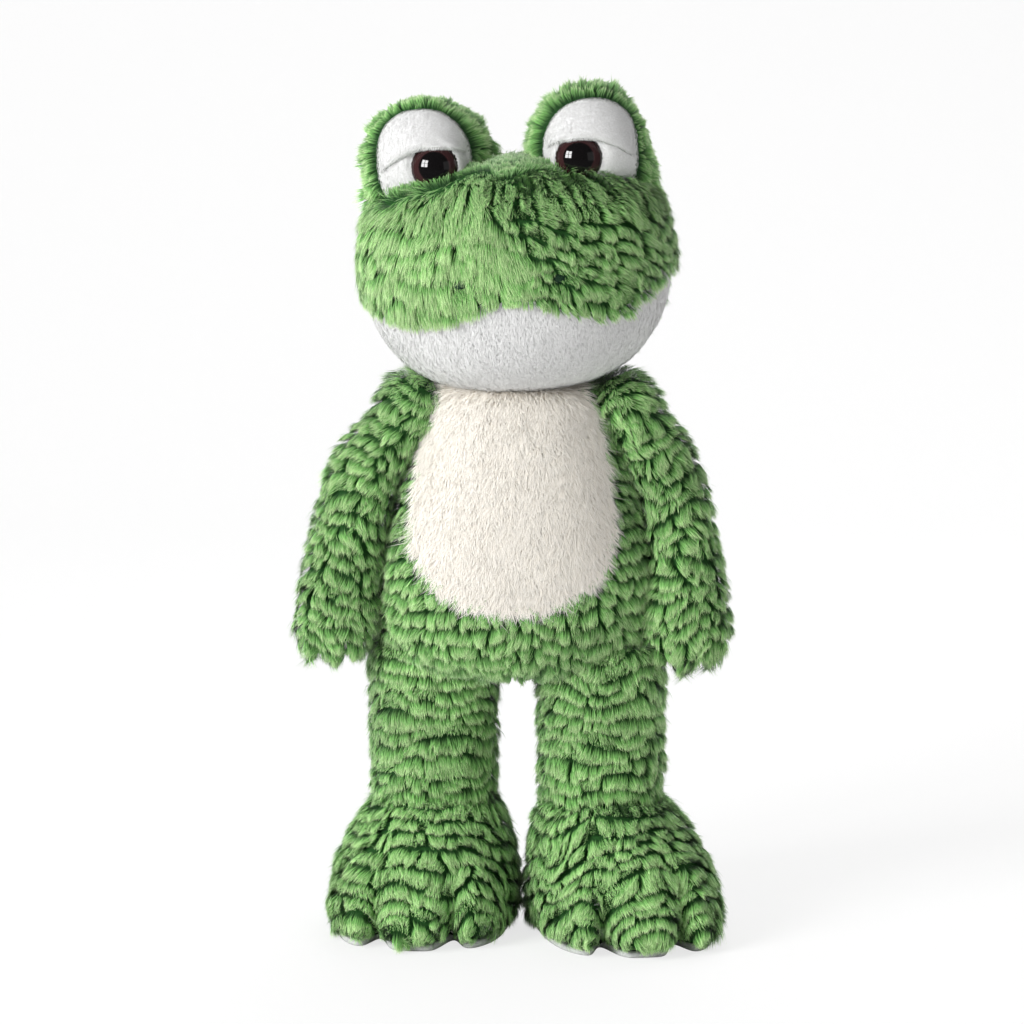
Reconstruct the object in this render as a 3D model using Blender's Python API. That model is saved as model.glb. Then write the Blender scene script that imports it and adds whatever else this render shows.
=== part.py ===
"""A standing plush frog: sewn fabric skins over stuffing, with safety eyes.

Metres, +Z up. The frog faces -Y, and its own left side is at +X.
The origin is on the floor, under the middle of the frog.
"""

import math

import bmesh
import bpy
import numpy as np
from mathutils import Vector
from mathutils.bvhtree import BVHTree

# Fabric, stuffing and clearances
FABRIC = 0.0020
SHORT_PILE_FABRIC = 0.0015
GAP = 0.0003
STUFFING_GAP = 0.0006
JOINT_GAP = 0.0006
CUT_OVERRUN = 0.0200

# Where the model stands about its origin
FRAME_SHIFT_X = 0.0012
FRAME_SHIFT_Y = 0.0071

# Torso, as one pear from the crotch to the shoulders, with a round neck on top
TORSO_BOTTOM_Z = 0.1150
TORSO_HEIGHT = 0.1265
TORSO_HALF_WIDTH = 0.0575
TORSO_HALF_DEPTH = 0.0420
TORSO_EXPONENT = 2.2
TORSO_SEGMENTS = 20
# Rows of height, width and depth
TORSO_SHARES = (
    (0.004, 0.50, 0.52),
    (0.030, 0.79, 0.78),
    (0.080, 0.935, 0.92),
    (0.160, 1.000, 1.00),
    (0.300, 0.985, 0.98),
    (0.450, 0.915, 0.90),
    (0.600, 0.815, 0.80),
    (0.740, 0.705, 0.70),
    (0.850, 0.590, 0.61),
)
NECK_X = 0.0025
NECK_SHARE = 0.918
NECK_Z = TORSO_BOTTOM_Z + NECK_SHARE * TORSO_HEIGHT
NECK_RADIUS = 0.0220
NECK_RING_DEGREES = (-14, 14, 42, 68)

# Belly panel, an egg seen from the front
PANEL_MIDDLE_SHARE = 0.486
PANEL_MIDDLE_Z = TORSO_BOTTOM_Z + PANEL_MIDDLE_SHARE * TORSO_HEIGHT
PANEL_HALF_WIDTH = 0.0410
PANEL_UP_SHARE = 0.530
PANEL_UP = PANEL_UP_SHARE * TORSO_HEIGHT
PANEL_DOWN_SHARE = 0.300
PANEL_DOWN = PANEL_DOWN_SHARE * TORSO_HEIGHT
PANEL_OVER_NECK = 0.0027
PANEL_TOP_Z = NECK_Z + PANEL_OVER_NECK
PANEL_BACK = 0.0040
PANEL_POINTS = 36

# Head, measured from the neck centre
HEAD_BOTTOM = 0.0010
HEAD_HEIGHT = 0.0985
HEAD_HALF_WIDTH = 0.0650
HEAD_FRONT = 0.0590
HEAD_BACK = 0.0500
HEAD_EXPONENT = 2.3
HEAD_SEGMENTS = 24
HEAD_PITCH_DEGREES = -5.0
HEAD_ROLL_DEGREES = -3.8
HEAD_TURN_DEGREES = -3.2
# Rows of height, width, front and back
HEAD_SHARES = (
    (0.010, 0.24, 0.26, 0.26),
    (0.045, 0.45, 0.46, 0.45),
    (0.115, 0.68, 0.68, 0.66),
    (0.215, 0.84, 0.86, 0.83),
    (0.320, 0.935, 0.96, 0.93),
    (0.440, 0.985, 1.00, 0.985),
    (0.580, 1.000, 0.98, 1.000),
    (0.700, 0.960, 0.88, 0.965),
    (0.805, 0.860, 0.68, 0.875),
    (0.897, 0.700, 0.47, 0.720),
    (0.962, 0.460, 0.31, 0.480),
)

# Jaw panel, below a mouth seam that peaks in the middle
MOUTH_PEAK_SHARE = 0.4315
MOUTH_PEAK = HEAD_BOTTOM + MOUTH_PEAK_SHARE * HEAD_HEIGHT
MOUTH_DIP = 0.0105
MOUTH_DIP_X = 0.0370
MOUTH_END_RISE = 0.0120
MOUTH_END_X = 0.0680
JAW_BACK = 0.0060
MOUTH_POINTS = 28

# Eye bumps on the head, measured from the neck centre
BUMP_X = 0.0350
BUMP_Y = -0.0080
BUMP_SHARE = 1.005
BUMP_Z = HEAD_BOTTOM + BUMP_SHARE * HEAD_HEIGHT
BUMP_HALF_WIDTH = 0.0245
BUMP_HALF_DEPTH = 0.0220
BUMP_HALF_HEIGHT = 0.0270
BUMP_SEGMENTS = 16
HOOD_RING_DEGREES = (62, 80, 100, 124, 152)
WINDOW_SHARE = 0.790

# Safety eye, its seat in the white face and its washer, measured from the bump's centre
EYE_INWARD = 0.0047
EYE_DOWN = 0.0030
EYE_RADIUS = 0.0100
EYE_DOME = 0.0055
EYE_SEAT_DEPTH = 0.0013
EYE_SEAT_MARGIN = 0.0006
EYE_SEGMENTS = 16
SHANK_RADIUS = 0.0025
SHANK_LENGTH = 0.0062
SHANK_CLEARANCE = 0.0003
WASHER_RADIUS = 0.0075
WASHER_THICKNESS = 0.0015
EYE_DOME_SHARES = (0.35, 0.65, 0.88)
WHITE_RING_SHARES = (0.30, 0.65, 1.00)

# Eyelid over the white face
LID_THICKNESS = 0.0016
LID_HALF_WIDTH = 0.0172
LID_LIFT = 0.0070
LID_OUTER_DROP = 0.0060
LID_INNER_DROP = 0.0057
LID_CLEARANCE = 0.0009
LID_COLUMNS = 13
LID_ROWS = 6

# Nostrils, measured from the neck centre
NOSTRIL_X = 0.0204
NOSTRIL_SHARE = 0.467
NOSTRIL_Z = HEAD_BOTTOM + NOSTRIL_SHARE * HEAD_HEIGHT
NOSTRIL_HALF_WIDTH = 0.0032
NOSTRIL_HALF_HEIGHT = 0.0019
NOSTRIL_BULGE = 0.0009
NOSTRIL_EDGE = 0.0005
NOSTRIL_SEGMENTS = 12
NOSTRIL_RING_SHARES = (0.55, 1.00)

# Arms, measured from the shoulder centre
SHOULDER_X = 0.0440
SHOULDER_Y = -0.0010
SHOULDER_SHARE = 0.864
SHOULDER_Z = TORSO_BOTTOM_Z + SHOULDER_SHARE * TORSO_HEIGHT
SHOULDER_RADIUS = 0.0135
SHOULDER_RING_DEGREES = (70, 40, 12, -26)
SHOULDER_GAP = 0.0003
SLEEVE_OPENING_RADIUS = 0.0060
LEFT_ARM_LENGTH = 0.1085
RIGHT_ARM_LENGTH = 0.1050
ARM_HALF_WIDTH = 0.0130
ARM_HALF_DEPTH = 0.0125
LEFT_ARM_FORWARD = 0.0160
RIGHT_ARM_FORWARD = 0.0140
ARM_EXPONENT = 2.2
ARM_SEGMENTS = 12
LEFT_ARM_REACH = 0.0305
RIGHT_ARM_REACH = 0.0340
LEFT_HAND_HALF_WIDTH = 0.0165
RIGHT_HAND_HALF_WIDTH = 0.0155
HAND_HALF_DEPTH = 0.0130
# Rows of drop, reach, and how far the section has gone from arm to hand, with its size
ARM_SHARES = (
    (0.150, 0.44, 0.00, 1.05),
    (0.300, 0.70, 0.00, 0.98),
    (0.460, 0.85, 0.00, 0.95),
    (0.620, 0.94, 0.25, 1.00),
    (0.760, 1.00, 0.75, 1.00),
    (0.870, 1.00, 1.00, 1.00),
    (0.950, 0.98, 1.00, 0.80),
    (0.990, 0.97, 1.00, 0.42),
)

# Legs, barrels that turn about the hip and ankle centres
HIP_X = 0.0352
LEFT_HIP_Y = -0.0050
RIGHT_HIP_Y = 0.0040
LEG_HALF_WIDTH = 0.0232
LEG_BARREL_RADIUS = 0.0220
HIP_SINK = 0.0018
ANKLE_Z = 0.0660
LEG_EXPONENT = 2.6
LEG_SEGMENTS = 16
LEG_BARREL_DEGREES = (0, 30, 55, 75)
LEG_END_POWER = 0.35
TROUSER_OPENING_RADIUS = 0.0080

# Feet, wedges with three toes over a flat sole
FOOT_HEIGHT = 0.0580
FOOT_HALF_WIDTH = 0.0380
FOOT_BACK = 0.0285
LEFT_FOOT_FRONT = 0.0660
RIGHT_FOOT_FRONT = 0.0620
LEFT_FOOT_OUTWARD = 0.0085
RIGHT_FOOT_OUTWARD = 0.0050
LEFT_TOE_OUT_DEGREES = 9.0
RIGHT_TOE_OUT_DEGREES = 5.0
TOE_NOTCH_DEPTH = 0.0130
TOE_NOTCH_SHARE = 0.43
TOE_NOTCH_SPREAD_SHARE = 0.13
TOE_EXPONENT = 3.0
ANKLE_EXPONENT = 2.3
SOLE_THICKNESS = 0.0030
SOLE_EDGE_INSET = 0.0012
FOOT_BACK_POINTS = 10
FOOT_FRONT_SHARES = (
    -1.0, -0.93, -0.80, -0.66, -0.53, -0.43, -0.33, -0.20,
    0.0, 0.20, 0.33, 0.43, 0.53, 0.66, 0.80, 0.93,
)
# Rows of height, width, front, back, and outward shift
FOOT_SHARES = (
    (0.058, 0.955, 0.925, 0.92, 1.00),
    (0.170, 1.000, 0.995, 0.98, 1.00),
    (0.330, 0.995, 0.930, 1.00, 0.95),
    (0.520, 0.955, 0.780, 1.00, 0.80),
    (0.700, 0.880, 0.620, 0.97, 0.55),
    (0.870, 0.780, 0.480, 0.93, 0.25),
    (1.000, 0.695, 0.395, 0.89, 0.00),
)

POCKET_SEGMENTS = 24


def clear_scene():
    for old in list(bpy.data.objects):
        bpy.data.objects.remove(old, do_unlink=True)


def make_material(name, colour, roughness):
    material = bpy.data.materials.new(name)
    material.use_nodes = True
    shader = material.node_tree.nodes["Principled BSDF"]
    shader.inputs["Base Color"].default_value = (*colour, 1.0)
    shader.inputs["Roughness"].default_value = roughness
    shader.inputs["Metallic"].default_value = 0.0
    return material


def add_empty(name, place, parent=None):
    empty = bpy.data.objects.new(name, None)
    bpy.context.scene.collection.objects.link(empty)
    empty.location = place
    empty.parent = parent
    return empty


def add_object(name, points, faces, parent, material=None):
    mesh = bpy.data.meshes.new(name)
    mesh.from_pydata(np.asarray(points, float).tolist(), [], faces)
    mesh.update()
    mesh.shade_smooth()
    if material is not None:
        mesh.materials.append(material)
    made = bpy.data.objects.new(name, mesh)
    bpy.context.scene.collection.objects.link(made)
    made.parent = parent
    return made


def as_cutter(made):
    """A cutter faces out, shows as wires and leaves no solid of its own."""
    shell = bmesh.new()
    shell.from_mesh(made.data)
    bmesh.ops.recalc_face_normals(shell, faces=shell.faces)
    shell.to_mesh(made.data)
    shell.free()
    made.hide_render = True
    made.display_type = "WIRE"
    return made


def boolean(made, cutter, operation):
    change = made.modifiers.new(operation.title() + " " + cutter.name, "BOOLEAN")
    change.operation = operation
    change.solver = "EXACT"
    change.object = cutter


def cut(made, *cutters):
    for cutter in cutters:
        boolean(made, cutter, "DIFFERENCE")


def keep_inside(made, cutter):
    boolean(made, cutter, "INTERSECT")


def superellipse(half_width, front, back, exponent, segments):
    """A ring about the origin, anticlockwise from above, with its own reach in front and behind."""
    angles = np.arange(segments) * (2 * math.pi / segments)
    across, along = np.cos(angles), np.sin(angles)
    x = half_width * np.sign(across) * np.abs(across) ** (2 / exponent)
    reach = np.where(along < 0, front, back)
    y = reach * np.sign(along) * np.abs(along) ** (2 / exponent)
    return np.stack([x, y, np.zeros(segments)], axis=1)


class Form:
    """A closed surface: rings of equal count from a low pole to a high pole."""

    def __init__(self, rings, low, high):
        self.rings = len(rings)
        self.segments = len(rings[0])
        self.points = np.vstack([np.concatenate(rings), [low], [high]])

    def faces(self):
        rings, segments = self.rings, self.segments
        low, high = rings * segments, rings * segments + 1
        top = (rings - 1) * segments
        found = []
        for step in range(segments):
            after = (step + 1) % segments
            found.append((after, step, low))
            found.append((top + step, top + after, high))
            for ring in range(rings - 1):
                start = ring * segments
                found.append((start + step, start + after, start + segments + after, start + segments + step))
        return found

    def normals(self):
        total = np.zeros_like(self.points)
        for face in self.faces():
            corners = self.points[list(face)]
            turned = np.roll(corners, -1, axis=0)
            total[list(face)] += np.cross(corners, turned).sum(axis=0)
        return total / np.linalg.norm(total, axis=1, keepdims=True)

    def moved_in(self, distance):
        inner = Form.__new__(Form)
        inner.rings, inner.segments = self.rings, self.segments
        inner.points = self.points - distance * self.normals()
        return inner


def add_skin(name, form, thickness, parent, material):
    """The form's surface with a wall behind it. A later cut opens the hollow."""
    inner = form.moved_in(thickness)
    points = np.vstack([form.points, inner.points])
    backs = [tuple(len(form.points) + corner for corner in reversed(face)) for face in inner.faces()]
    return add_object(name, points, form.faces() + backs, parent, material)


def add_sleeve(name, form, thickness, parent, material):
    """The form's side walls alone, open at both ends."""
    inner = form.moved_in(thickness)
    count = form.rings * form.segments
    points = np.vstack([form.points[:count], inner.points[:count]])
    faces = [face for face in form.faces() if max(face) < count]
    faces += [tuple(count + corner for corner in reversed(face)) for face in faces]
    last = (form.rings - 1) * form.segments
    for step in range(form.segments):
        after = (step + 1) % form.segments
        faces.append((after, step, count + step, count + after))
        faces.append((last + step, last + after, count + last + after, count + last + step))
    return add_object(name, points, faces, parent, material)


def add_solid(name, form, parent, material):
    return add_object(name, form.points, form.faces(), parent, material)


def add_prism(name, outline, first_y, last_y, parent):
    """An outline of x and z, extruded along Y."""
    count = len(outline)
    near = np.array([(x, first_y, z) for x, z in outline])
    far = np.array([(x, last_y, z) for x, z in outline])
    faces = [tuple(range(count)), tuple(reversed(range(count, 2 * count)))]
    for step in range(count):
        after = (step + 1) % count
        faces.append((step, after, count + after, count + step))
    return as_cutter(add_object(name, np.vstack([near, far]), faces, parent))


def add_ball_cutter(name, radius, parent):
    """A ball whose flat facets all stay outside the radius."""
    ball = bmesh.new()
    grown = radius / math.cos(math.pi / POCKET_SEGMENTS) ** 2
    bmesh.ops.create_uvsphere(ball, u_segments=POCKET_SEGMENTS, v_segments=POCKET_SEGMENTS // 2, radius=grown)
    return finish_cutter(name, ball, parent)


def add_barrel_cutter(name, radius, half_length, parent):
    """A barrel along X whose flat facets all stay outside the radius."""
    barrel = bmesh.new()
    grown = radius / math.cos(math.pi / POCKET_SEGMENTS)
    bmesh.ops.create_cone(
        barrel,
        cap_ends=True,
        segments=POCKET_SEGMENTS,
        radius1=grown,
        radius2=grown,
        depth=2 * half_length,
    )
    made = finish_cutter(name, barrel, parent)
    made.rotation_euler = (0, math.radians(90), 0)
    return made


def finish_cutter(name, shape, parent):
    mesh = bpy.data.meshes.new(name)
    shape.to_mesh(mesh)
    shape.free()
    made = bpy.data.objects.new(name, mesh)
    bpy.context.scene.collection.objects.link(made)
    made.parent = parent
    return as_cutter(made)


def torso_form(step=1):
    """The pear and the neck ball. A step of 2 keeps every second point for the stuffing."""
    segments = TORSO_SEGMENTS // step
    rings = []
    for height, width, depth in TORSO_SHARES[::step]:
        reach = depth * TORSO_HALF_DEPTH
        ring = superellipse(width * TORSO_HALF_WIDTH, reach, reach, TORSO_EXPONENT, segments)
        rings.append(ring + (0, 0, TORSO_BOTTOM_Z + height * TORSO_HEIGHT))
    for degrees in NECK_RING_DEGREES:
        angle = math.radians(degrees)
        across = NECK_RADIUS * math.cos(angle)
        ring = superellipse(across, across, across, 2, segments)
        rings.append(ring + (NECK_X, 0, NECK_Z + NECK_RADIUS * math.sin(angle)))
    return Form(rings, (0, 0, TORSO_BOTTOM_Z), (NECK_X, 0, NECK_Z + NECK_RADIUS))


def panel_outline(grow):
    """An egg of two half ellipses that share their width, cut level at the neck."""
    outline = []
    for step in range(PANEL_POINTS):
        angle = 2 * math.pi * step / PANEL_POINTS
        tall = PANEL_UP if math.sin(angle) > 0 else PANEL_DOWN
        x = (PANEL_HALF_WIDTH + grow) * math.cos(angle)
        z = PANEL_MIDDLE_Z + (tall + grow) * math.sin(angle)
        outline.append((x, min(z, PANEL_TOP_Z + grow)))
    return outline


def build_torso(root, fur, cream, fill, pockets):
    skin = add_skin("torso_skin", torso_form(), FABRIC, root, fur)
    panel = add_skin("belly_panel", torso_form(), FABRIC, root, cream)
    front = -TORSO_HALF_DEPTH - CUT_OVERRUN
    keep_inside(panel, add_prism("belly_keep", panel_outline(0), front, -PANEL_BACK, root))
    belly_room = add_prism("belly_cut", panel_outline(GAP), front, GAP - PANEL_BACK, root)
    cut(skin, belly_room, *pockets)
    stuffing = add_solid("torso_stuffing", torso_form(2).moved_in(FABRIC + STUFFING_GAP), root, fill)
    cut(stuffing, *pockets)


def head_form(step=1):
    segments = HEAD_SEGMENTS // step
    rings = []
    for height, width, front, back in HEAD_SHARES[::step]:
        ring = superellipse(
            width * HEAD_HALF_WIDTH, front * HEAD_FRONT, back * HEAD_BACK, HEAD_EXPONENT, segments
        )
        rings.append(ring + (0, 0, HEAD_BOTTOM + height * HEAD_HEIGHT))
    return Form(rings, (0, 0, HEAD_BOTTOM), (0, 0, HEAD_BOTTOM + HEAD_HEIGHT))


def mouth_outline(grow):
    """The mouth seam from one cheek to the other: a cosine dip on each side, then a rise to the cheek."""
    outline = []
    for step in range(MOUTH_POINTS + 1):
        x = MOUTH_END_X * (2 * step / MOUTH_POINTS - 1)
        away = abs(x)
        if away < MOUTH_DIP_X:
            drop = MOUTH_DIP * (1 - math.cos(math.pi * away / MOUTH_DIP_X)) / 2
        else:
            climb = (away - MOUTH_DIP_X) / (MOUTH_END_X - MOUTH_DIP_X)
            drop = MOUTH_DIP - MOUTH_END_RISE * climb * climb
        outline.append((x, MOUTH_PEAK - drop + grow))
    below = HEAD_BOTTOM - CUT_OVERRUN
    return outline + [(MOUTH_END_X, below), (-MOUTH_END_X, below)]


def build_head(head, fur, white, fill, thread, neck_pocket):
    form = head_form()
    skin = add_skin("head_skin", form, FABRIC, head, fur)
    jaw = add_skin("jaw_panel", form, FABRIC, head, white)
    front = -HEAD_FRONT - CUT_OVERRUN
    keep_inside(jaw, add_prism("jaw_keep", mouth_outline(0), front, JAW_BACK, head))
    jaw_room = add_prism("jaw_cut", mouth_outline(GAP), front, JAW_BACK + GAP, head)
    cut(skin, jaw_room, neck_pocket)
    cut(jaw, neck_pocket)
    stuffing = add_solid("head_stuffing", head_form(2).moved_in(FABRIC + STUFFING_GAP), head, fill)
    cut(stuffing, neck_pocket)
    surface = BVHTree.FromPolygons(form.points.tolist(), form.faces())
    for side, sign in (("left", 1), ("right", -1)):
        build_nostril(side, sign, surface, head, thread)
    return form


def build_nostril(side, sign, surface, head, thread):
    """An oval of stitches that follows the snout."""
    angles = np.arange(NOSTRIL_SEGMENTS) * (2 * math.pi / NOSTRIL_SEGMENTS)
    fronts, backs = [], []
    for share in (0.0, *NOSTRIL_RING_SHARES):
        for angle in angles if share else angles[:1]:
            x = sign * NOSTRIL_X + share * NOSTRIL_HALF_WIDTH * math.cos(angle)
            z = NOSTRIL_Z + share * NOSTRIL_HALF_HEIGHT * math.sin(angle)
            y = surface.ray_cast(Vector((x, -HEAD_FRONT - CUT_OVERRUN, z)), Vector((0, 1, 0)))[0].y - GAP
            backs.append((x, y, z))
            fronts.append((x, y - NOSTRIL_EDGE - NOSTRIL_BULGE * (1 - share * share), z))
    slab = disc_slab(fronts, backs, len(NOSTRIL_RING_SHARES), NOSTRIL_SEGMENTS)
    add_object(side + "_nostril", *slab, head, thread)


def disc_slab(fronts, backs, rings, segments):
    """Two discs of a centre and rings, facing -Y and +Y, joined at their rims."""
    count = len(fronts)
    faces = []
    for step in range(segments):
        after = (step + 1) % segments
        faces.append((0, 1 + step, 1 + after))
        faces.append((count, count + 1 + after, count + 1 + step))
        for ring in range(rings - 1):
            near, far = 1 + ring * segments, 1 + (ring + 1) * segments
            faces.append((near + step, far + step, far + after, near + after))
            faces.append((count + near + after, count + far + after, count + far + step, count + near + step))
        rim = 1 + (rings - 1) * segments
        faces.append((rim + step, count + rim + step, count + rim + after, rim + after))
    return np.array(fronts + backs), faces


def turned(profile, segments, centre):
    """A profile of radius and y, turned about the line along Y through the centre."""
    angles = np.arange(segments) * (2 * math.pi / segments)
    rings = []
    for radius, y in profile:
        ring = np.stack([radius * np.cos(angles), np.full(segments, y), radius * np.sin(angles)], axis=1)
        rings.append(ring + (centre[0], 0, centre[1]))
    return rings


def backward(rings):
    """Rings that follow each other towards +Y, each reversed so that a Form of them faces out."""
    return [ring[::-1] for ring in rings]


def bump_y(x, z):
    """The bump's front, by its distance from the bump's centre."""
    spread = 1 - (x / BUMP_HALF_WIDTH) ** 2 - (z / BUMP_HALF_HEIGHT) ** 2
    return -BUMP_HALF_DEPTH * math.sqrt(max(spread, 0))


def seat_y():
    return bump_y(EYE_INWARD, EYE_DOWN) + EYE_SEAT_DEPTH


def face_y(x, z):
    """The white face's front: the bump's curve, held back round the eye."""
    return max(bump_y(x, z), seat_y() - SHORT_PILE_FABRIC)


def dome_y(distance):
    """The eye's dome, as a cap of a ball."""
    ball = (EYE_RADIUS**2 + EYE_DOME**2) / (2 * EYE_DOME)
    return seat_y() - GAP - (math.sqrt(ball**2 - distance**2) - ball + EYE_DOME)


def build_eye(side, sign, head, head_room, fur, white, fill, plastic, washer_plastic):
    """One bump, built about its own centre: hood, white face, lid, eye, washer and stuffing."""
    bump = add_empty(side + "_bump", (sign * BUMP_X, BUMP_Y, BUMP_Z), head)
    eye = (-sign * EYE_INWARD, -EYE_DOWN)
    build_hood(side, bump, head_room, fur)
    build_white(side, bump, eye, head_room, white)
    build_lid(side, sign, bump, eye, white)
    back = seat_y() - GAP + SHANK_LENGTH
    front = seat_y() + SHORT_PILE_FABRIC + GAP
    profile = [(EYE_RADIUS * share, dome_y(EYE_RADIUS * share)) for share in EYE_DOME_SHARES]
    profile += [(EYE_RADIUS, seat_y() - 2 * GAP), (EYE_RADIUS, seat_y() - GAP)]
    profile += [(SHANK_RADIUS, seat_y() - GAP), (SHANK_RADIUS, back)]
    rings = backward(turned(profile, EYE_SEGMENTS, eye))
    form = Form(rings, (eye[0], dome_y(0), eye[1]), (eye[0], back, eye[1]))
    add_solid(side + "_eye", form, bump, plastic)
    build_washer(side, bump, eye, front, washer_plastic)
    filling = build_bump_stuffing(side, bump, back + GAP, fill)
    cut(filling, head_room)


def build_hood(side, bump, head_room, fur):
    """The bump behind its window, open to the front."""
    profile, backs = [], []
    for degrees in HOOD_RING_DEGREES:
        angle = math.radians(degrees)
        profile.append((math.sin(angle), -math.cos(angle)))
    outer = hood_rings(profile, 0)
    inner = hood_rings(profile, FABRIC)
    points = np.vstack([np.concatenate(outer), np.concatenate(inner)])
    points = np.vstack([points, [(0, BUMP_HALF_DEPTH, 0), (0, BUMP_HALF_DEPTH - FABRIC, 0)]])
    count = len(profile) * BUMP_SEGMENTS
    last = (len(profile) - 1) * BUMP_SEGMENTS
    faces = []
    for step in range(BUMP_SEGMENTS):
        after = (step + 1) % BUMP_SEGMENTS
        for ring in range(len(profile) - 1):
            near, far = ring * BUMP_SEGMENTS, (ring + 1) * BUMP_SEGMENTS
            faces.append((near + step, far + step, far + after, near + after))
            backs.append((count + near + after, count + far + after, count + far + step, count + near + step))
        faces.append((last + step, 2 * count, last + after))
        backs.append((count + last + after, 2 * count + 1, count + last + step))
        faces.append((step, after, count + after, count + step))
    hood = add_object(side + "_eye_hood", points, faces + backs, bump, fur)
    cut(hood, head_room)


def hood_rings(profile, inset):
    """Rings of the bump's ellipsoid, made smaller by the inset."""
    angles = np.arange(BUMP_SEGMENTS) * (2 * math.pi / BUMP_SEGMENTS)
    wide, deep, tall = BUMP_HALF_WIDTH - inset, BUMP_HALF_DEPTH - inset, BUMP_HALF_HEIGHT - inset
    rings = []
    for across, along in profile:
        x = wide * across * np.cos(angles)
        z = tall * across * np.sin(angles)
        rings.append(np.stack([x, np.full(BUMP_SEGMENTS, deep * along), z], axis=1))
    return rings


def build_white(side, bump, eye, head_room, white):
    """The white face: flat under the eye, then the bump's curve, with a hole for the shank."""
    angles = np.arange(BUMP_SEGMENTS) * (2 * math.pi / BUMP_SEGMENTS)
    hole = SHANK_RADIUS + SHANK_CLEARANCE
    seat = EYE_RADIUS + EYE_SEAT_MARGIN
    fronts, backs = [], []
    skirt = bump_skirt_y()
    for radius in (hole, seat):
        for angle in angles:
            x, z = eye[0] + radius * math.cos(angle), eye[1] + radius * math.sin(angle)
            fronts.append((x, seat_y(), z))
            backs.append((x, seat_y() + SHORT_PILE_FABRIC, z))
    for share in WHITE_RING_SHARES:
        for angle in angles:
            edge_x = WINDOW_SHARE * BUMP_HALF_WIDTH * math.cos(angle)
            edge_z = WINDOW_SHARE * BUMP_HALF_HEIGHT * math.sin(angle)
            x = (1 - share) * (eye[0] + seat * math.cos(angle)) + share * edge_x
            z = (1 - share) * (eye[1] + seat * math.sin(angle)) + share * edge_z
            y = face_y(x, z)
            fronts.append((x, y, z))
            backs.append((x, y + SHORT_PILE_FABRIC if share < 1 else skirt, z))
    count, rings = len(fronts), 2 + len(WHITE_RING_SHARES)
    faces = []
    for step in range(BUMP_SEGMENTS):
        after = (step + 1) % BUMP_SEGMENTS
        for ring in range(rings - 1):
            near, far = ring * BUMP_SEGMENTS, (ring + 1) * BUMP_SEGMENTS
            faces.append((near + step, far + step, far + after, near + after))
            faces.append((count + near + after, count + far + after, count + far + step, count + near + step))
        rim = (rings - 1) * BUMP_SEGMENTS
        faces.append((rim + step, count + rim + step, count + rim + after, rim + after))
        faces.append((step, after, count + after, count + step))
    made = add_object(side + "_eye_white", np.array(fronts + backs), faces, bump, white)
    cut(made, head_room)


def bump_skirt_y():
    """How far back the white face is tucked into the hood's mouth."""
    return -(BUMP_HALF_DEPTH - FABRIC) * math.cos(math.radians(HOOD_RING_DEGREES[0]))


def build_lid(side, sign, bump, eye, white):
    """A flap that lies on the white face and over the top of the eye's dome."""
    fronts, backs = [], []
    for row in range(LID_ROWS):
        for column in range(LID_COLUMNS):
            outward = LID_HALF_WIDTH * (2 * column / (LID_COLUMNS - 1) - 1)
            from_eye = (outward + EYE_INWARD) / LID_HALF_WIDTH
            drop = LID_OUTER_DROP if from_eye > 0 else LID_INNER_DROP
            low = LID_LIFT - drop * from_eye**2
            high = WINDOW_SHARE * BUMP_HALF_HEIGHT
            high *= math.sqrt(1 - (outward / (WINDOW_SHARE * BUMP_HALF_WIDTH)) ** 2)
            share = row / (LID_ROWS - 1)
            x, z = sign * outward, low + share * (high - low)
            distance = math.hypot(x - eye[0], z - eye[1])
            y = face_y(x, z)
            if distance < EYE_RADIUS + LID_CLEARANCE:
                y = min(y, dome_y(min(distance, EYE_RADIUS)))
            y -= LID_CLEARANCE
            backs.append((x, y, z))
            fronts.append((x, y - LID_THICKNESS, z))
    points = np.array(fronts + backs)
    faces = sheet_faces(LID_ROWS, LID_COLUMNS, sign < 0)
    add_object(side + "_eyelid", points, faces, bump, white)


def sheet_faces(rows, columns, flip):
    """Faces of a thick sheet whose front points come first. A flip turns them all for a mirrored sheet."""
    count = rows * columns
    faces = []
    for row in range(rows - 1):
        for column in range(columns - 1):
            corner = row * columns + column
            square = (corner, corner + 1, corner + columns + 1, corner + columns)
            faces.append(square)
            faces.append(tuple(count + index for index in reversed(square)))
    edge = list(range(columns))
    edge += [row * columns + columns - 1 for row in range(1, rows)]
    edge += [(rows - 1) * columns + column for column in range(columns - 2, -1, -1)]
    edge += [row * columns for row in range(rows - 2, 0, -1)]
    for first, second in zip(edge, edge[1:] + edge[:1]):
        faces.append((second, first, count + first, count + second))
    return [tuple(reversed(face)) for face in faces] if flip else faces


def build_washer(side, bump, eye, front, washer_plastic):
    """A flat ring behind the white face, round the shank."""
    inner = SHANK_RADIUS + SHANK_CLEARANCE
    corners = (
        (inner, front),
        (WASHER_RADIUS, front),
        (WASHER_RADIUS, front + WASHER_THICKNESS),
        (inner, front + WASHER_THICKNESS),
    )
    rings = turned(corners, EYE_SEGMENTS, eye)
    faces = []
    for step in range(EYE_SEGMENTS):
        after = (step + 1) % EYE_SEGMENTS
        for ring in range(len(corners)):
            near, far = ring * EYE_SEGMENTS, (ring + 1) % len(corners) * EYE_SEGMENTS
            faces.append((near + step, far + step, far + after, near + after))
    add_object(side + "_eye_washer", np.concatenate(rings), faces, bump, washer_plastic)


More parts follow.
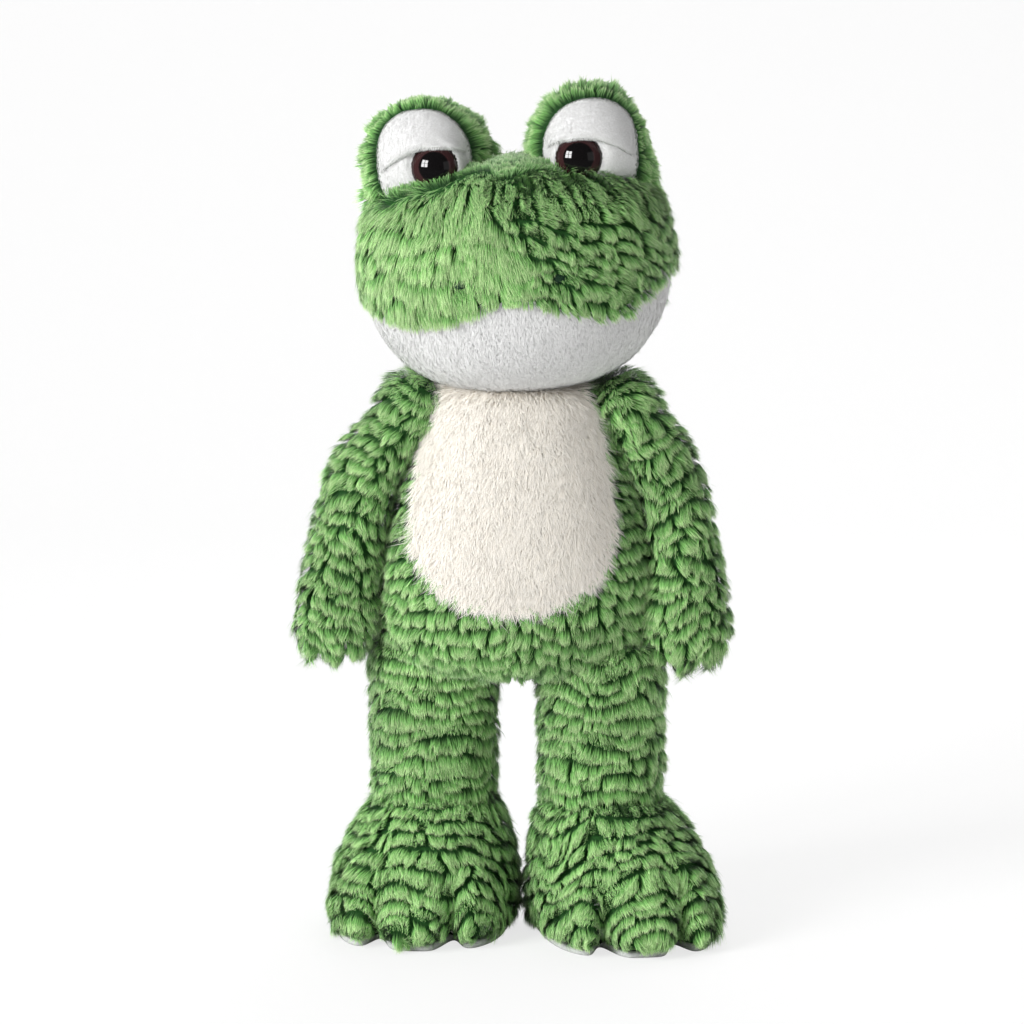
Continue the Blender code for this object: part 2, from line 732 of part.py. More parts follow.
def build_bump_stuffing(side, bump, front, fill):
    """The bump's filling, flat behind the washer."""
    inset = FABRIC + STUFFING_GAP
    deep = BUMP_HALF_DEPTH - inset
    start = math.degrees(math.acos(-front / deep))
    profile = []
    for degrees in (start, *HOOD_RING_DEGREES[1:]):
        angle = math.radians(degrees)
        profile.append((math.sin(angle), -math.cos(angle)))
    form = Form(backward(hood_rings(profile, inset)), (0, front, 0), (0, deep, 0))
    return add_solid(side + "_eye_stuffing", form, bump, fill)


def head_room_cutter(form, head):
    """The head's own shape, a gap larger, which the bumps are cut to sit on."""
    return as_cutter(add_solid("head_room", form.moved_in(-GAP), head, None))


def arm_form(sign, length, reach, forward, hand, step=1):
    """A sleeve hung from a round shoulder, swelling to a mitten hand."""
    segments = ARM_SEGMENTS // step
    rings = []
    for drop, out, swell, size in reversed(ARM_SHARES):
        wide = size * ((1 - swell) * ARM_HALF_WIDTH + swell * hand)
        deep = size * ((1 - swell) * ARM_HALF_DEPTH + swell * HAND_HALF_DEPTH)
        ring = superellipse(wide, deep, deep, ARM_EXPONENT, segments)
        rings.append(ring + (sign * out * reach, -drop * forward, -drop * length))
    for degrees in reversed(SHOULDER_RING_DEGREES):
        angle = math.radians(degrees)
        across = SHOULDER_RADIUS * math.cos(angle)
        ring = superellipse(across, across, across, 2, segments)
        rings.append(ring + (0, 0, SHOULDER_RADIUS * math.sin(angle)))
    tip = (sign * ARM_SHARES[-1][1] * reach, -forward, -length)
    return Form(rings, tip, (0, 0, SHOULDER_RADIUS))


def build_arm(side, sign, length, reach, forward, hand, root, fur, fill):
    shoulder = add_empty(side + "_shoulder", (sign * SHOULDER_X, SHOULDER_Y, SHOULDER_Z), root)
    form = arm_form(sign, length, reach, forward, hand)
    skin = add_skin(side + "_arm_skin", form, FABRIC, shoulder, fur)
    opening = add_barrel_cutter(side + "_sleeve_opening", SLEEVE_OPENING_RADIUS, SHOULDER_RADIUS, shoulder)
    opening.location = (-sign * SHOULDER_RADIUS, 0, 0)
    cut(skin, opening)
    inner = arm_form(sign, length, reach, forward, hand, 2).moved_in(FABRIC + STUFFING_GAP)
    add_solid(side + "_arm_stuffing", inner, shoulder, fill)
    return add_ball_cutter(side + "_shoulder_pocket", SHOULDER_RADIUS + SHOULDER_GAP, shoulder)


def leg_form(drop, step=1):
    """A barrel at the hip and another at the ankle, with a straight leg between them."""
    segments = LEG_SEGMENTS // step
    rings = []
    for base, sign in ((-drop, -1), (0, 1)):
        degrees_list = LEG_BARREL_DEGREES if sign > 0 else tuple(reversed(LEG_BARREL_DEGREES))
        for degrees in degrees_list:
            angle = math.radians(degrees)
            wide = LEG_HALF_WIDTH * math.cos(angle) ** LEG_END_POWER
            deep = LEG_BARREL_RADIUS * math.cos(angle)
            ring = superellipse(wide, deep, deep, LEG_EXPONENT, segments)
            rings.append(ring + (0, 0, base + sign * LEG_BARREL_RADIUS * math.sin(angle)))
    return Form(rings, (0, 0, -drop - LEG_BARREL_RADIUS), (0, 0, LEG_BARREL_RADIUS))


def build_leg(side, sign, hip_y, root, fur, fill):
    hip_z = TORSO_BOTTOM_Z - LEG_BARREL_RADIUS + HIP_SINK
    drop = hip_z - ANKLE_Z
    hip = add_empty(side + "_hip", (sign * HIP_X, hip_y, hip_z), root)
    skin = add_skin(side + "_leg_skin", leg_form(drop), FABRIC, hip, fur)
    opening = add_barrel_cutter(side + "_leg_opening", TROUSER_OPENING_RADIUS, LEG_BARREL_RADIUS, hip)
    opening.rotation_euler = (0, 0, 0)
    opening.location = (0, 0, LEG_BARREL_RADIUS)
    cut(skin, opening)
    add_solid(side + "_leg_stuffing", leg_form(drop, 2).moved_in(FABRIC + STUFFING_GAP), hip, fill)
    reach = LEG_BARREL_RADIUS + JOINT_GAP
    pocket = add_barrel_cutter(side + "_hip_pocket", reach, LEG_HALF_WIDTH + JOINT_GAP, hip)
    ankle = add_empty(side + "_ankle", (0, 0, -drop), hip)
    return pocket, ankle


def foot_ring(sign, share_row, front_length, outward, toe_out):
    """One level of the foot: round behind, three toes in front, turned out about the ankle."""
    height, width, front, back, shift = share_row
    half = width * FOOT_HALF_WIDTH
    reach = front * front_length
    exponent = TOE_EXPONENT + (ANKLE_EXPONENT - TOE_EXPONENT) * height
    angles = np.arange(FOOT_BACK_POINTS) * (math.pi / FOOT_BACK_POINTS)
    x_back = half * np.cos(angles)
    y_back = back * FOOT_BACK * np.sin(angles) ** (2 / exponent)
    share = np.array(FOOT_FRONT_SHARES)
    y_front = -reach * (1 - np.abs(share) ** exponent) ** (1 / exponent)
    notch = np.exp(-(((np.abs(share) - TOE_NOTCH_SHARE) / TOE_NOTCH_SPREAD_SHARE) ** 2))
    y_front = y_front + TOE_NOTCH_DEPTH * (1 - height) ** 2 * notch
    x = np.concatenate([x_back, half * share]) + sign * shift * outward
    y = np.concatenate([y_back, y_front])
    turn = math.radians(sign * toe_out)
    z = np.full(len(x), height * FOOT_HEIGHT - ANKLE_Z)
    across = x * math.cos(turn) - y * math.sin(turn)
    along = x * math.sin(turn) + y * math.cos(turn)
    return np.stack([across, along, z], axis=1)


def foot_rings(sign, front_length, outward, toe_out):
    return [foot_ring(sign, row, front_length, outward, toe_out) for row in FOOT_SHARES]


def lid_on(ring, z):
    """The middle of a ring, at a height."""
    middle = ring.mean(axis=0)
    return (middle[0], middle[1], z)


def build_foot(side, sign, front_length, outward, toe_out, ankle, fur, sole_cloth, fill):
    rings = foot_rings(sign, front_length, outward, toe_out)
    floor = -ANKLE_Z
    sole_top = floor + SOLE_THICKNESS
    top = floor + FOOT_HEIGHT
    form = Form(rings, lid_on(rings[0], rings[0][0, 2]), lid_on(rings[-1], top))
    upper = add_sleeve(side + "_foot_upper", form, FABRIC, ankle, fur)
    reach = LEG_BARREL_RADIUS + JOINT_GAP
    pocket = add_barrel_cutter(side + "_ankle_pocket", reach, LEG_HALF_WIDTH + JOINT_GAP, ankle)
    inner = form.moved_in(FABRIC + 2 * STUFFING_GAP)
    filling = add_solid(side + "_foot_stuffing", inner, ankle, fill)
    cut(filling, pocket)
    cut(upper, pocket)
    build_sole(side, rings[0], floor, sole_top, ankle, sole_cloth)


def build_sole(side, ring, floor, sole_top, ankle, sole_cloth):
    """A flat sole with a slightly smaller tread."""
    middle = ring.mean(axis=0)
    apart = np.linalg.norm((ring - middle)[:, :2], axis=1, keepdims=True)
    tread = ring + (middle - ring) * (SOLE_EDGE_INSET / apart)
    rim = ring.copy()
    tread[:, 2] = floor
    rim[:, 2] = sole_top
    count = len(ring)
    faces = [tuple(reversed(range(count))), tuple(range(count, 2 * count))]
    for step in range(count):
        after = (step + 1) % count
        faces.append((step, after, count + after, count + step))
    add_object(side + "_sole_panel", np.vstack([tread, rim]), faces, ankle, sole_cloth)


def build_frog():
    clear_scene()
    fur = make_material("green_fur", (0.115, 0.290, 0.070), 0.95)
    white = make_material("white_pile", (0.870, 0.870, 0.850), 0.90)
    cream = make_material("cream_fur", (0.850, 0.790, 0.700), 0.95)
    sole_cloth = make_material("sole_pile", (0.700, 0.710, 0.700), 0.90)
    fill = make_material("fibre_stuffing", (0.900, 0.900, 0.880), 1.00)
    plastic = make_material("eye_plastic", (0.030, 0.008, 0.008), 0.08)
    washer_plastic = make_material("washer_plastic", (0.800, 0.800, 0.780), 0.40)
    thread = make_material("nostril_thread", (0.020, 0.050, 0.015), 0.80)

    root = add_empty("frog", (FRAME_SHIFT_X, FRAME_SHIFT_Y, 0))
    head = add_empty("neck", (NECK_X, 0, NECK_Z), root)
    head.rotation_euler = [
        math.radians(degrees) for degrees in (HEAD_PITCH_DEGREES, HEAD_ROLL_DEGREES, HEAD_TURN_DEGREES)
    ]
    neck_pocket = add_ball_cutter("neck_pocket", NECK_RADIUS + JOINT_GAP, head)
    pockets = [
        build_arm(
            "left", 1, LEFT_ARM_LENGTH, LEFT_ARM_REACH, LEFT_ARM_FORWARD, LEFT_HAND_HALF_WIDTH,
            root, fur, fill,
        ),
        build_arm(
            "right", -1, RIGHT_ARM_LENGTH, RIGHT_ARM_REACH, RIGHT_ARM_FORWARD, RIGHT_HAND_HALF_WIDTH,
            root, fur, fill,
        ),
    ]
    left_pocket, left_ankle = build_leg("left", 1, LEFT_HIP_Y, root, fur, fill)
    right_pocket, right_ankle = build_leg("right", -1, RIGHT_HIP_Y, root, fur, fill)
    pockets += [left_pocket, right_pocket]
    build_foot(
        "left", 1, LEFT_FOOT_FRONT, LEFT_FOOT_OUTWARD, LEFT_TOE_OUT_DEGREES,
        left_ankle, fur, sole_cloth, fill,
    )
    build_foot(
        "right", -1, RIGHT_FOOT_FRONT, RIGHT_FOOT_OUTWARD, RIGHT_TOE_OUT_DEGREES,
        right_ankle, fur, sole_cloth, fill,
    )
    build_torso(root, fur, cream, fill, pockets)
    form = build_head(head, fur, white, fill, thread, neck_pocket)
    head_room = head_room_cutter(form, head)
    for side, sign in (("left", 1), ("right", -1)):
        build_eye(side, sign, head, head_room, fur, white, fill, plastic, washer_plastic)


build_frog()
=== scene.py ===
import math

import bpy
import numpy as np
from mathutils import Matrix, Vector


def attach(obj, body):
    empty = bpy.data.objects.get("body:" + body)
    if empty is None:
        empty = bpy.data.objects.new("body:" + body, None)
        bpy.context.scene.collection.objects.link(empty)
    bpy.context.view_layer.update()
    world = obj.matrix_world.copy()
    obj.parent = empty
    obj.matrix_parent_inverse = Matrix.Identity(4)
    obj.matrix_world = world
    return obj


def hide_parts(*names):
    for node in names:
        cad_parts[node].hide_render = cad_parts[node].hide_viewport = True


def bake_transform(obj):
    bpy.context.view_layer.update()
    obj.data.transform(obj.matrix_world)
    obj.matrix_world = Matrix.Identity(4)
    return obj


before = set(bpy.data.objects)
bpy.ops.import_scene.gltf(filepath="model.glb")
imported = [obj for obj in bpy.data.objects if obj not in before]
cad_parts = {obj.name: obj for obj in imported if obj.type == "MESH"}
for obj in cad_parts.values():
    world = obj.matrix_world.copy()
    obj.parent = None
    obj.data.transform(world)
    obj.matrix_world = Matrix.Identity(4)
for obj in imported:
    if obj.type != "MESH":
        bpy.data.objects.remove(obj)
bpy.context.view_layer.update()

# %% [markdown]
# # A standing plush frog in long green fur
#
# A plush toy is a set of sewn fabric bags, each stuffed until it is round, with the fur on the outside.
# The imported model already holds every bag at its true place, so this lesson dresses it: smooth stuffed
# forms first, then the fur itself, then the eyes, the stitches and the light.
#
# Fur could be a particle system, a stack of see-through shells, or real strands. Strands made as plain
# mesh are chosen here, because they keep their shape in every view, in the poses and in an exported file.

# %% [markdown]
# ## Places that the whole lesson shares
#
# The frog faces -Y and its own left side is at +X. The head is tilted and turned a little, so its pieces
# are worked out about the neck and then turned into place with one matrix.

# %% Shared places
FRAME_SHIFT = np.array([0.0012, 0.0071, 0.0])
TORSO_BOTTOM = 0.1150
TORSO_HEIGHT = 0.1265
NECK = np.array([0.0025, 0.0, TORSO_BOTTOM + 0.918 * TORSO_HEIGHT]) + FRAME_SHIFT
HEAD_ANGLES = np.radians([-5.0, -3.8, -3.2])
SIDES = (("left", 1), ("right", -1))
STRAND_SHARE = 1.0


def turn(angles):
    """A turn about X, then Y, then Z, as one matrix."""
    (cx, cy, cz), (sx, sy, sz) = np.cos(angles), np.sin(angles)
    about_x = np.array([[1, 0, 0], [0, cx, -sx], [0, sx, cx]])
    about_y = np.array([[cy, 0, sy], [0, 1, 0], [-sy, 0, cy]])
    about_z = np.array([[cz, -sz, 0], [sz, cz, 0], [0, 0, 1]])
    return about_z @ about_y @ about_x


HEAD_TURN = turn(HEAD_ANGLES)


def on_head(points):
    """Points measured from the neck, moved to where the tilted head is."""
    return points @ HEAD_TURN.T + NECK


def about_head(points):
    """The way back: points in the frame, measured from the neck of an upright head."""
    return (points - NECK) @ HEAD_TURN


print("neck at", NECK.round(4))

# %% [markdown]
# ## Stuffed forms from a few rows
#
# A stuffed bag has no flat face and no sharp edge. It could be sculpted by hand. Here each one starts as a
# stack of rounded rings: a short table says how wide and deep the bag is at a few heights, and a smooth
# curve runs through the rows, so the form can be read and changed.

# %% Curves and rings


def smooth_rows(rows, steps):
    """A curve through the rows. In each span it is a cubic whose slope at a row is half of the step
    between that row's neighbours."""
    rows = np.asarray(rows, float)
    t = np.linspace(0, len(rows) - 1, (len(rows) - 1) * steps + 1)
    i = np.minimum(t.astype(int), len(rows) - 2)
    f = (t - i)[:, None]
    before, first = rows[np.maximum(i - 1, 0)], rows[i]
    second, after = rows[i + 1], rows[np.minimum(i + 2, len(rows) - 1)]
    cubic = 3 * (first - second) + after - before
    square = 2 * before - 5 * first + 4 * second - after
    return first + 0.5 * f * (second - before + f * (square + f * cubic))


def rounded_rings(half_width, front, back, exponent, height, around):
    """Rings about Z. A point at angle a is at half_width * |cos a| ^ (2 / exponent) to the side and at
    reach * |sin a| ^ (2 / exponent) forwards or backwards, each with its sign."""
    angle = np.arange(around) * (2 * math.pi / around)
    across, along = np.cos(angle), np.sin(angle)
    side = np.sign(across) * np.abs(across) ** (2 / exponent)
    deep = np.sign(along) * np.abs(along) ** (2 / exponent)
    reach = np.where(along < 0, np.reshape(front, (-1, 1)), np.reshape(back, (-1, 1)))
    x = np.reshape(half_width, (-1, 1)) * side
    z = np.broadcast_to(np.reshape(height, (-1, 1)), x.shape)
    return np.stack([x, reach * deep, z], axis=2)


def closed_form(grid):
    """Points and triangles of a stack of rings whose first and last ring are shut with one point."""
    rows, around = grid.shape[:2]
    points = np.vstack([grid.reshape(-1, 3), grid[0].mean(axis=0), grid[-1].mean(axis=0)])
    step = np.arange(around)
    after = (step + 1) % around
    start = np.arange(rows - 1)[:, None] * around
    a, b = (start + step).ravel(), (start + after).ravel()
    c, d = b + around, a + around
    last = (rows - 1) * around
    low, high = np.full(around, rows * around), np.full(around, rows * around + 1)
    parts = [(a, b, c), (a, c, d), (after, step, low), (last + step, last + after, high)]
    return points, np.vstack([np.stack(part, axis=1) for part in parts])


def point_normals(points, faces):
    """At each point, the sum of the normals of the faces round it, each as long as its face is large."""
    corners = points[faces]
    face = np.cross(corners[:, 1] - corners[:, 0], corners[:, 2] - corners[:, 0])
    total = np.zeros_like(points)
    for corner in range(3):
        for axis in range(3):
            total[:, axis] += np.bincount(faces[:, corner], face[:, axis], len(points))
    return total / np.maximum(np.linalg.norm(total, axis=1, keepdims=True), 1e-12)


def volume(points, faces):
    """The volume inside a closed form. It is negative if the faces point inwards."""
    a, b, c = (points[faces[:, corner]] for corner in range(3))
    return float(np.einsum("ij,ij->i", a, np.cross(b, c)).sum() / 6)


def facing_out(points, faces):
    """The form with its faces turned outwards, if they aren't yet."""
    return (points, faces) if volume(points, faces) > 0 else (points, faces[:, ::-1])


# %% [markdown]
# A bag gets its last roundness from its stuffing. The smooth form is drawn in a little, taken as cloth,
# and blown up by pressure from inside, with gravity off. The flat parts swell most and the ends least. The
# simulation is worked out ten times larger, where its pressure has a sensible effect, and what it gives
# becomes the form itself, so no simulation is left on any piece.

# %% Stuffing
SWELL = 0.0012
SIM_SCALE, SIM_FRAMES, SIM_PRESSURE = 10, 20, 4


def stuffed(points, faces):
    """The form as pressure leaves it. No point ends further than SWELL from where it was."""
    scene = bpy.context.scene
    mesh = bpy.data.meshes.new("bag")
    start = points - 0.5 * SWELL * point_normals(points, faces)
    mesh.from_pydata((start * SIM_SCALE).tolist(), [], faces.tolist())
    bag = bpy.data.objects.new("bag", mesh)
    scene.collection.objects.link(bag)
    settings = bag.modifiers.new("cloth", "CLOTH").settings
    settings.use_pressure = True
    settings.uniform_pressure_force = SIM_PRESSURE
    settings.effector_weights.gravity = 0
    for number in range(1, SIM_FRAMES + 1):
        scene.frame_set(number)
    blown = bag.evaluated_get(bpy.context.evaluated_depsgraph_get()).data
    moved = np.empty(points.size, np.float32)
    blown.vertices.foreach_get("co", moved)
    scene.frame_set(1)
    bpy.data.objects.remove(bag)
    step = moved.reshape(-1, 3) / SIM_SCALE - points
    length = np.linalg.norm(step, axis=1, keepdims=True)
    print("stuffing moves a point by", (length.mean() * 1000).round(2), "mm on average")
    return points + step * np.minimum(1, SWELL / np.maximum(length, 1e-9)), faces


# %% [markdown]
# ## Pieces that know where they belong
#
# A finished form becomes a mesh in one go. It then says which body of the model it moves with, and a bag's
# cloth hides the solid of the model that it stands for.

# %% Meshes from arrays


def add_piece(name, points, faces, material, body, slot, uv=None, shading=None):
    """A mesh from whole arrays, with its place in its points. It moves with one body of the model, and given
    two it keeps its place. Shading is a normal for each point, for light that falls as on a softer shape."""
    mesh = bpy.data.meshes.new(name)
    mesh.vertices.add(len(points))
    mesh.vertices.foreach_set("co", np.ascontiguousarray(points, np.float32).ravel())
    mesh.loops.add(faces.size)
    mesh.loops.foreach_set("vertex_index", np.ascontiguousarray(faces, np.int32).ravel())
    mesh.polygons.add(len(faces))
    mesh.polygons.foreach_set("loop_start", np.arange(len(faces), dtype=np.int32) * faces.shape[1])
    mesh.update(calc_edges=True)
    mesh.shade_smooth()
    if uv is not None:
        layer = mesh.uv_layers.new(name="OFBake")
        layer.data.foreach_set("uv", np.ascontiguousarray(uv, np.float32).ravel())
    if shading is not None:
        layer = mesh.attributes.new("custom_normal", "FLOAT_VECTOR", "POINT")
        layer.data.foreach_set("vector", np.ascontiguousarray(shading, np.float32).ravel())
    mesh.materials.append(material)
    made = bpy.data.objects.new(name, mesh)
    bpy.context.scene.collection.objects.link(made)
    if isinstance(body, str):
        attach(made, body)
    elif body:
        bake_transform(made)
    print(f"{name}: {len(faces)} faces")
    return made


def add_pad(name, form, material, body, slot, stands_for):
    """The cloth or the filling of a stuffed bag, in place of one soft solid of the model."""
    pad = add_piece(name, *form, material, body, slot)
    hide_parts(stands_for)


# %% [markdown]
# ## Even, repeatable randomness
#
# Real fur is uneven in three ways: large soft waves, tufts that lean together, and single hairs that
# stray. Waves come from a sum of sines, tufts from a number that depends only on the tuft's place, and
# stray hairs from a seeded generator, so each run gives the same frog.

# %% Noise


def waves(points, length, seed):
    """Smooth noise from about -1 to 1: seven sine waves in fixed random directions, of about one length."""
    source = np.random.default_rng(seed)
    directions = source.normal(size=(7, 3))
    directions /= np.linalg.norm(directions, axis=1, keepdims=True)
    lengths = length * source.uniform(0.75, 1.35, 7)
    phases = source.uniform(0, 2 * math.pi, 7)
    return np.sin(points @ (2 * math.pi * directions / lengths[:, None]).T + phases).sum(axis=1) / 3.2


def scrambled(first, second, seed):
    """A number from 0 to 1 that depends only on two whole numbers: the fraction of a large sine."""
    mixed = np.sin(first * 127.1 + second * 311.7 + seed * 74.7) * 43758.5453
    return mixed - np.floor(mixed)


def scattered(points, faces, count, seed):
    """Evenly spread places on a surface. The areas are added up along the list of faces, that length is
    cut into equal steps, and each step gets one place at random, in the face where the step lies."""
    source = np.random.default_rng(seed)
    corners = points[faces]
    areas = np.linalg.norm(np.cross(corners[:, 1] - corners[:, 0], corners[:, 2] - corners[:, 0]), axis=1)
    summed = np.cumsum(areas)
    pick = np.searchsorted(summed, (np.arange(count) + source.random(count)) / count * summed[-1])
    pick = np.minimum(pick, len(faces) - 1)
    root, share = np.sqrt(source.random(count)), source.random(count)
    weights = np.stack([1 - root, root * (1 - share), root * share], axis=1)[:, :, None]
    normals = point_normals(points, faces)[faces[pick]]
    places = (corners[pick] * weights).sum(axis=1)
    normal = (normals * weights).sum(axis=1)
    return places, normal / np.linalg.norm(normal, axis=1, keepdims=True)


def between(value, low, high):
    """From 0 at the low value to 1 at the high one, with soft ends."""
    share = np.clip((value - low) / (high - low), 0, 1)
    return share * share * (3 - 2 * share)


def surface_area(points, faces):
    """Half the length of the cross product of two edges, summed over the triangles."""
    corners = points[faces]
    turned = np.cross(corners[:, 1] - corners[:, 0], corners[:, 2] - corners[:, 0])
    return float(np.linalg.norm(turned, axis=1).sum() / 2)


# %% [markdown]
# ## Strands
#
# The frog's fur is combed, and it lies in crinkled rows like the fringes of a shawl: each row starts
# under the one above, rises, and ends in ragged tips that shade the next. So a strand needs to know how
# far down the comb it grows, which gives its row, and how far round the bag, which gives its tuft and,
# finer still, its lock.
#
# Each strand is a narrow leaf of two triangles: a root, a bend and a tip. The rows of a piece follow
# waves and break in places, the strands of a tuft fan out or draw together, and a few hairs stray.

# %% Fur
LOWEST = 0.0003
ROOT_DEPTH = 0.0005
MOST_ROLL = np.radians(38)
MOST_STRANDS = 96000
LONG_COAT = dict(
    # Strands in a square metre, the width of one, and the height of a tip over the cloth.
    density=5.0e6, width=0.00028, lift=0.0040,
    # From row to row, the reach over the next row, the share of a row in which roots stand, and how far
    # and in what length the rows wave.
    pitch=0.0064, overlap=0.34, spread=0.95, wave=0.0030, wave_length=0.034,
    # The width of a block of rows, of a tuft and of a lock, how much a tuft draws together, and how much
    # the locks stand apart.
    block=0.0170, tuft=0.0034, lock=0.0011, clump=0.30, locked=0.60,
    # How uneven tufts and single strands are in length, how much they lean aside, and the shares of short
    # tufts and of stray hairs.
    ragged=0.46, frayed=0.42, lean=0.40, astray=0.22, holes=0.10, stray=0.05,
    # The tone from dark to bright, and how much the light varies over strands and over a tuft.
    tone=0.5, fluff=0.60, roundness=0.42,
)


class Coat:
    """How one fabric's pile grows: as the long green coat, but for the facts that are given."""

    def __init__(self, **facts):
        self.__dict__.update(LONG_COAT, **facts)


def strands(places, normal, comb, down, around, coat, seed, shorten=None, limit=None):
    """Points, faces, map and shading of the strands. A strand's row is the whole part of its way down
    over the pitch. It ends a set share past its row, so all the tips of a row lie near one line. Its
    tuft is the whole part of its way round over the tuft's width. A tuft has its own length, lean and
    tone, and its strands are shaded as a round brush."""
    source = np.random.default_rng(seed)
    count = len(places)
    comb = comb - normal * (comb * normal).sum(axis=1, keepdims=True)
    comb /= np.maximum(np.linalg.norm(comb, axis=1, keepdims=True), 1e-9)
    side = np.cross(normal, comb)

    block = np.floor(around / coat.block + 0.45 * waves(places, 2.2 * coat.block, seed + 2))
    way = down + coat.wave * waves(places, coat.wave_length, seed + 1)
    way += 0.5 * coat.pitch * scrambled(block, 0 * block, seed + 6)
    row = np.floor(way / coat.pitch)
    phase = way / coat.pitch - row
    shifted = around / coat.tuft + 0.55 * waves(places, 4 * coat.tuft, seed + 3)
    shifted += scrambled(row, block, seed)
    tuft = np.floor(shifted)
    aside = tuft + 0.5 - shifted
    own = [scrambled(row, tuft + 0.37 * block, seed + number) - 0.5 for number in range(1, 6)]
    finer = around / coat.lock + 0.8 * waves(places, 5 * coat.lock, seed + 4)
    finer += 7 * scrambled(row, tuft, seed + 7)
    lock = np.floor(finer)
    beside = lock + 0.5 - finer
    locks_own = [scrambled(row, lock, seed + number) - 0.5 for number in range(11, 14)]

    slant = 1.4 * own[0] * aside
    ragged = coat.ragged * (own[1] + slant - 0.4 * aside**2) + coat.frayed * (source.random(count) - 0.6)
    ragged -= 0.45 * (scrambled(tuft, row, seed + 9) < coat.holes)
    ragged += coat.locked * 0.36 * locks_own[0]
    run = (1 + coat.overlap + ragged - phase * coat.spread) * coat.pitch
    run = np.maximum(run, 0.25 * coat.pitch)
    strays = source.random(count) < coat.stray
    raised = 0.82 + 0.26 * source.random(count) + 0.50 * own[2] + 0.35 * coat.locked * locks_own[1]
    lift = coat.lift * raised * np.where(strays, 1.3, 1.0)
    if shorten is not None:
        run, lift = run * shorten, lift * shorten
    if limit is not None:
        run = np.minimum(run, limit * (1 + 0.3 * own[1] + 0.35 * (source.random(count) - 0.5)))
    lean = 2 * coat.lean * own[3] + coat.astray * (source.random(count) - 0.5) * np.where(strays, 3, 1)
    pull = aside * coat.tuft * (coat.clump + 0.8 * own[4]) + lean * run + coat.locked * beside * coat.lock

    run, lift, pull, tilt = run[:, None], lift[:, None], pull[:, None], -aside[:, None]
    root = places - ROOT_DEPTH * normal
    bend = places + 0.50 * run * comb + 0.42 * pull * side + 0.74 * lift * normal
    tip = places + run * comb + pull * side + lift * normal
    roll = MOST_ROLL * (2 * source.random(count) - 1)[:, None]
    half = coat.width * (0.36 + 0.28 * source.random(count))[:, None]
    flat = (side * np.cos(roll) + normal * np.sin(roll)) * half
    points = np.stack([root, bend - flat, bend + flat, tip], axis=1).reshape(-1, 3)
    points[:, 2] = np.maximum(points[:, 2], LOWEST)
    first = (np.arange(count) * 4)[:, None, None]
    faces = (first + np.array([[0, 1, 2], [1, 3, 2]])).reshape(-1, 3)

    random_tilt = coat.fluff * (2 * source.random(count) - 1)[:, None] + coat.roundness * tilt
    random_tilt -= coat.locked * (1.1 * beside + 0.5 * locks_own[2])[:, None]
    low = normal + 0.30 * random_tilt * side - 0.25 * comb
    high = normal + random_tilt * side + 0.25 * comb
    shading = np.stack([low, 0.5 * (low + high), 0.5 * (low + high), high], axis=1).reshape(-1, 3)
    shading /= np.linalg.norm(shading, axis=1, keepdims=True)

    # A coat's tone sets the middle of its strand tones; for the white pile it carries painted shade on the
    # eye whites and lids and painted light on the jaw.
    tone = coat.tone + 0.28 * own[4] + 0.28 * (source.random(count) - 0.5)
    tone += 0.45 * coat.locked * locks_own[2]
    tone = np.clip(tone + 0.15 * waves(places, 0.045, seed + 5), 0.02, 0.98)
    left, right = tone - 0.008, tone + 0.008
    # The map's height, from 0.03 at the root to 0.97 at the tip, drives the painted root shade and tip light
    # of the fur ramps.
    low, middle, high = np.full(count, 0.03), np.full(count, 0.50), np.full(count, 0.97)
    corner = {0: (tone, low), 1: (left, middle), 2: (right, middle), 3: (tone, high)}
    uv = np.stack([np.stack(corner[number], axis=1) for number in (0, 1, 2, 1, 3, 2)], axis=1)
    return points, faces, uv.reshape(-1, 2), shading


def add_fur(name, form, placing, coat, material, body, slot, seed, keep=None, shorten=None, limit=None):
    """Grows a coat on a form. Where one piece would be too heavy, the coat becomes several."""
    points, faces = form
    count = int(surface_area(points, faces) * coat.density * STRAND_SHARE)
    places, normal = scattered(points, faces, count, seed)
    if keep is not None:
        kept = keep(places)
        places, normal = places[kept], normal[kept]
    parts = math.ceil(len(places) / MOST_STRANDS)
    share = np.array_split(np.arange(len(places)), parts)
    for number, some in enumerate(share):
        comb, down, around = placing(places[some], normal[some])
        short = None if shorten is None else shorten(places[some])
        longest = None if limit is None else limit(places[some])
        piece = strands(places[some], normal[some], comb, down, around, coat, seed, short, longest)
        label = name if parts == 1 else f"{name}_{number + 1}"
        add_piece(label, piece[0], piece[1], material, body, slot, piece[2], piece[3])


# %% [markdown]
# ## Finishes
#
# The fur's colour is darker at a hair's root, as painted shade where little light reaches, and paler at its
# tip, as painted light. The strands carry a map whose height runs from root to tip and whose width holds each
# strand's own tone, so one small node group of ramps colours all the fur. The skins under the fur are the
# knitted backing; the green one is dark as painted shade between the strands.

# %% Node helpers


def new_material(name):
    """A material with its list of nodes and its list of links."""
    material = bpy.data.materials.new(name)
    material.use_nodes = True
    return material, material.node_tree.nodes, material.node_tree.links


def set_ramp(ramp, stops):
    """Stops of a place from 0 to 1 and a colour."""
    elements = ramp.color_ramp.elements
    while len(elements) > 1:
        elements.remove(elements[-1])
    elements[0].position, elements[0].color = stops[0][0], (*stops[0][1], 1)
    for place, colour in stops[1:]:
        elements.new(place).color = (*colour, 1)


def paint(red, green, blue):
    """A colour as a screen gives it, from 0 to 255, as the light that it stands for."""
    share = np.array([red, green, blue]) / 255
    light = np.where(share <= 0.04045, share / 12.92, ((share + 0.055) / 1.055) ** 2.4)
    return tuple(float(value) for value in light)


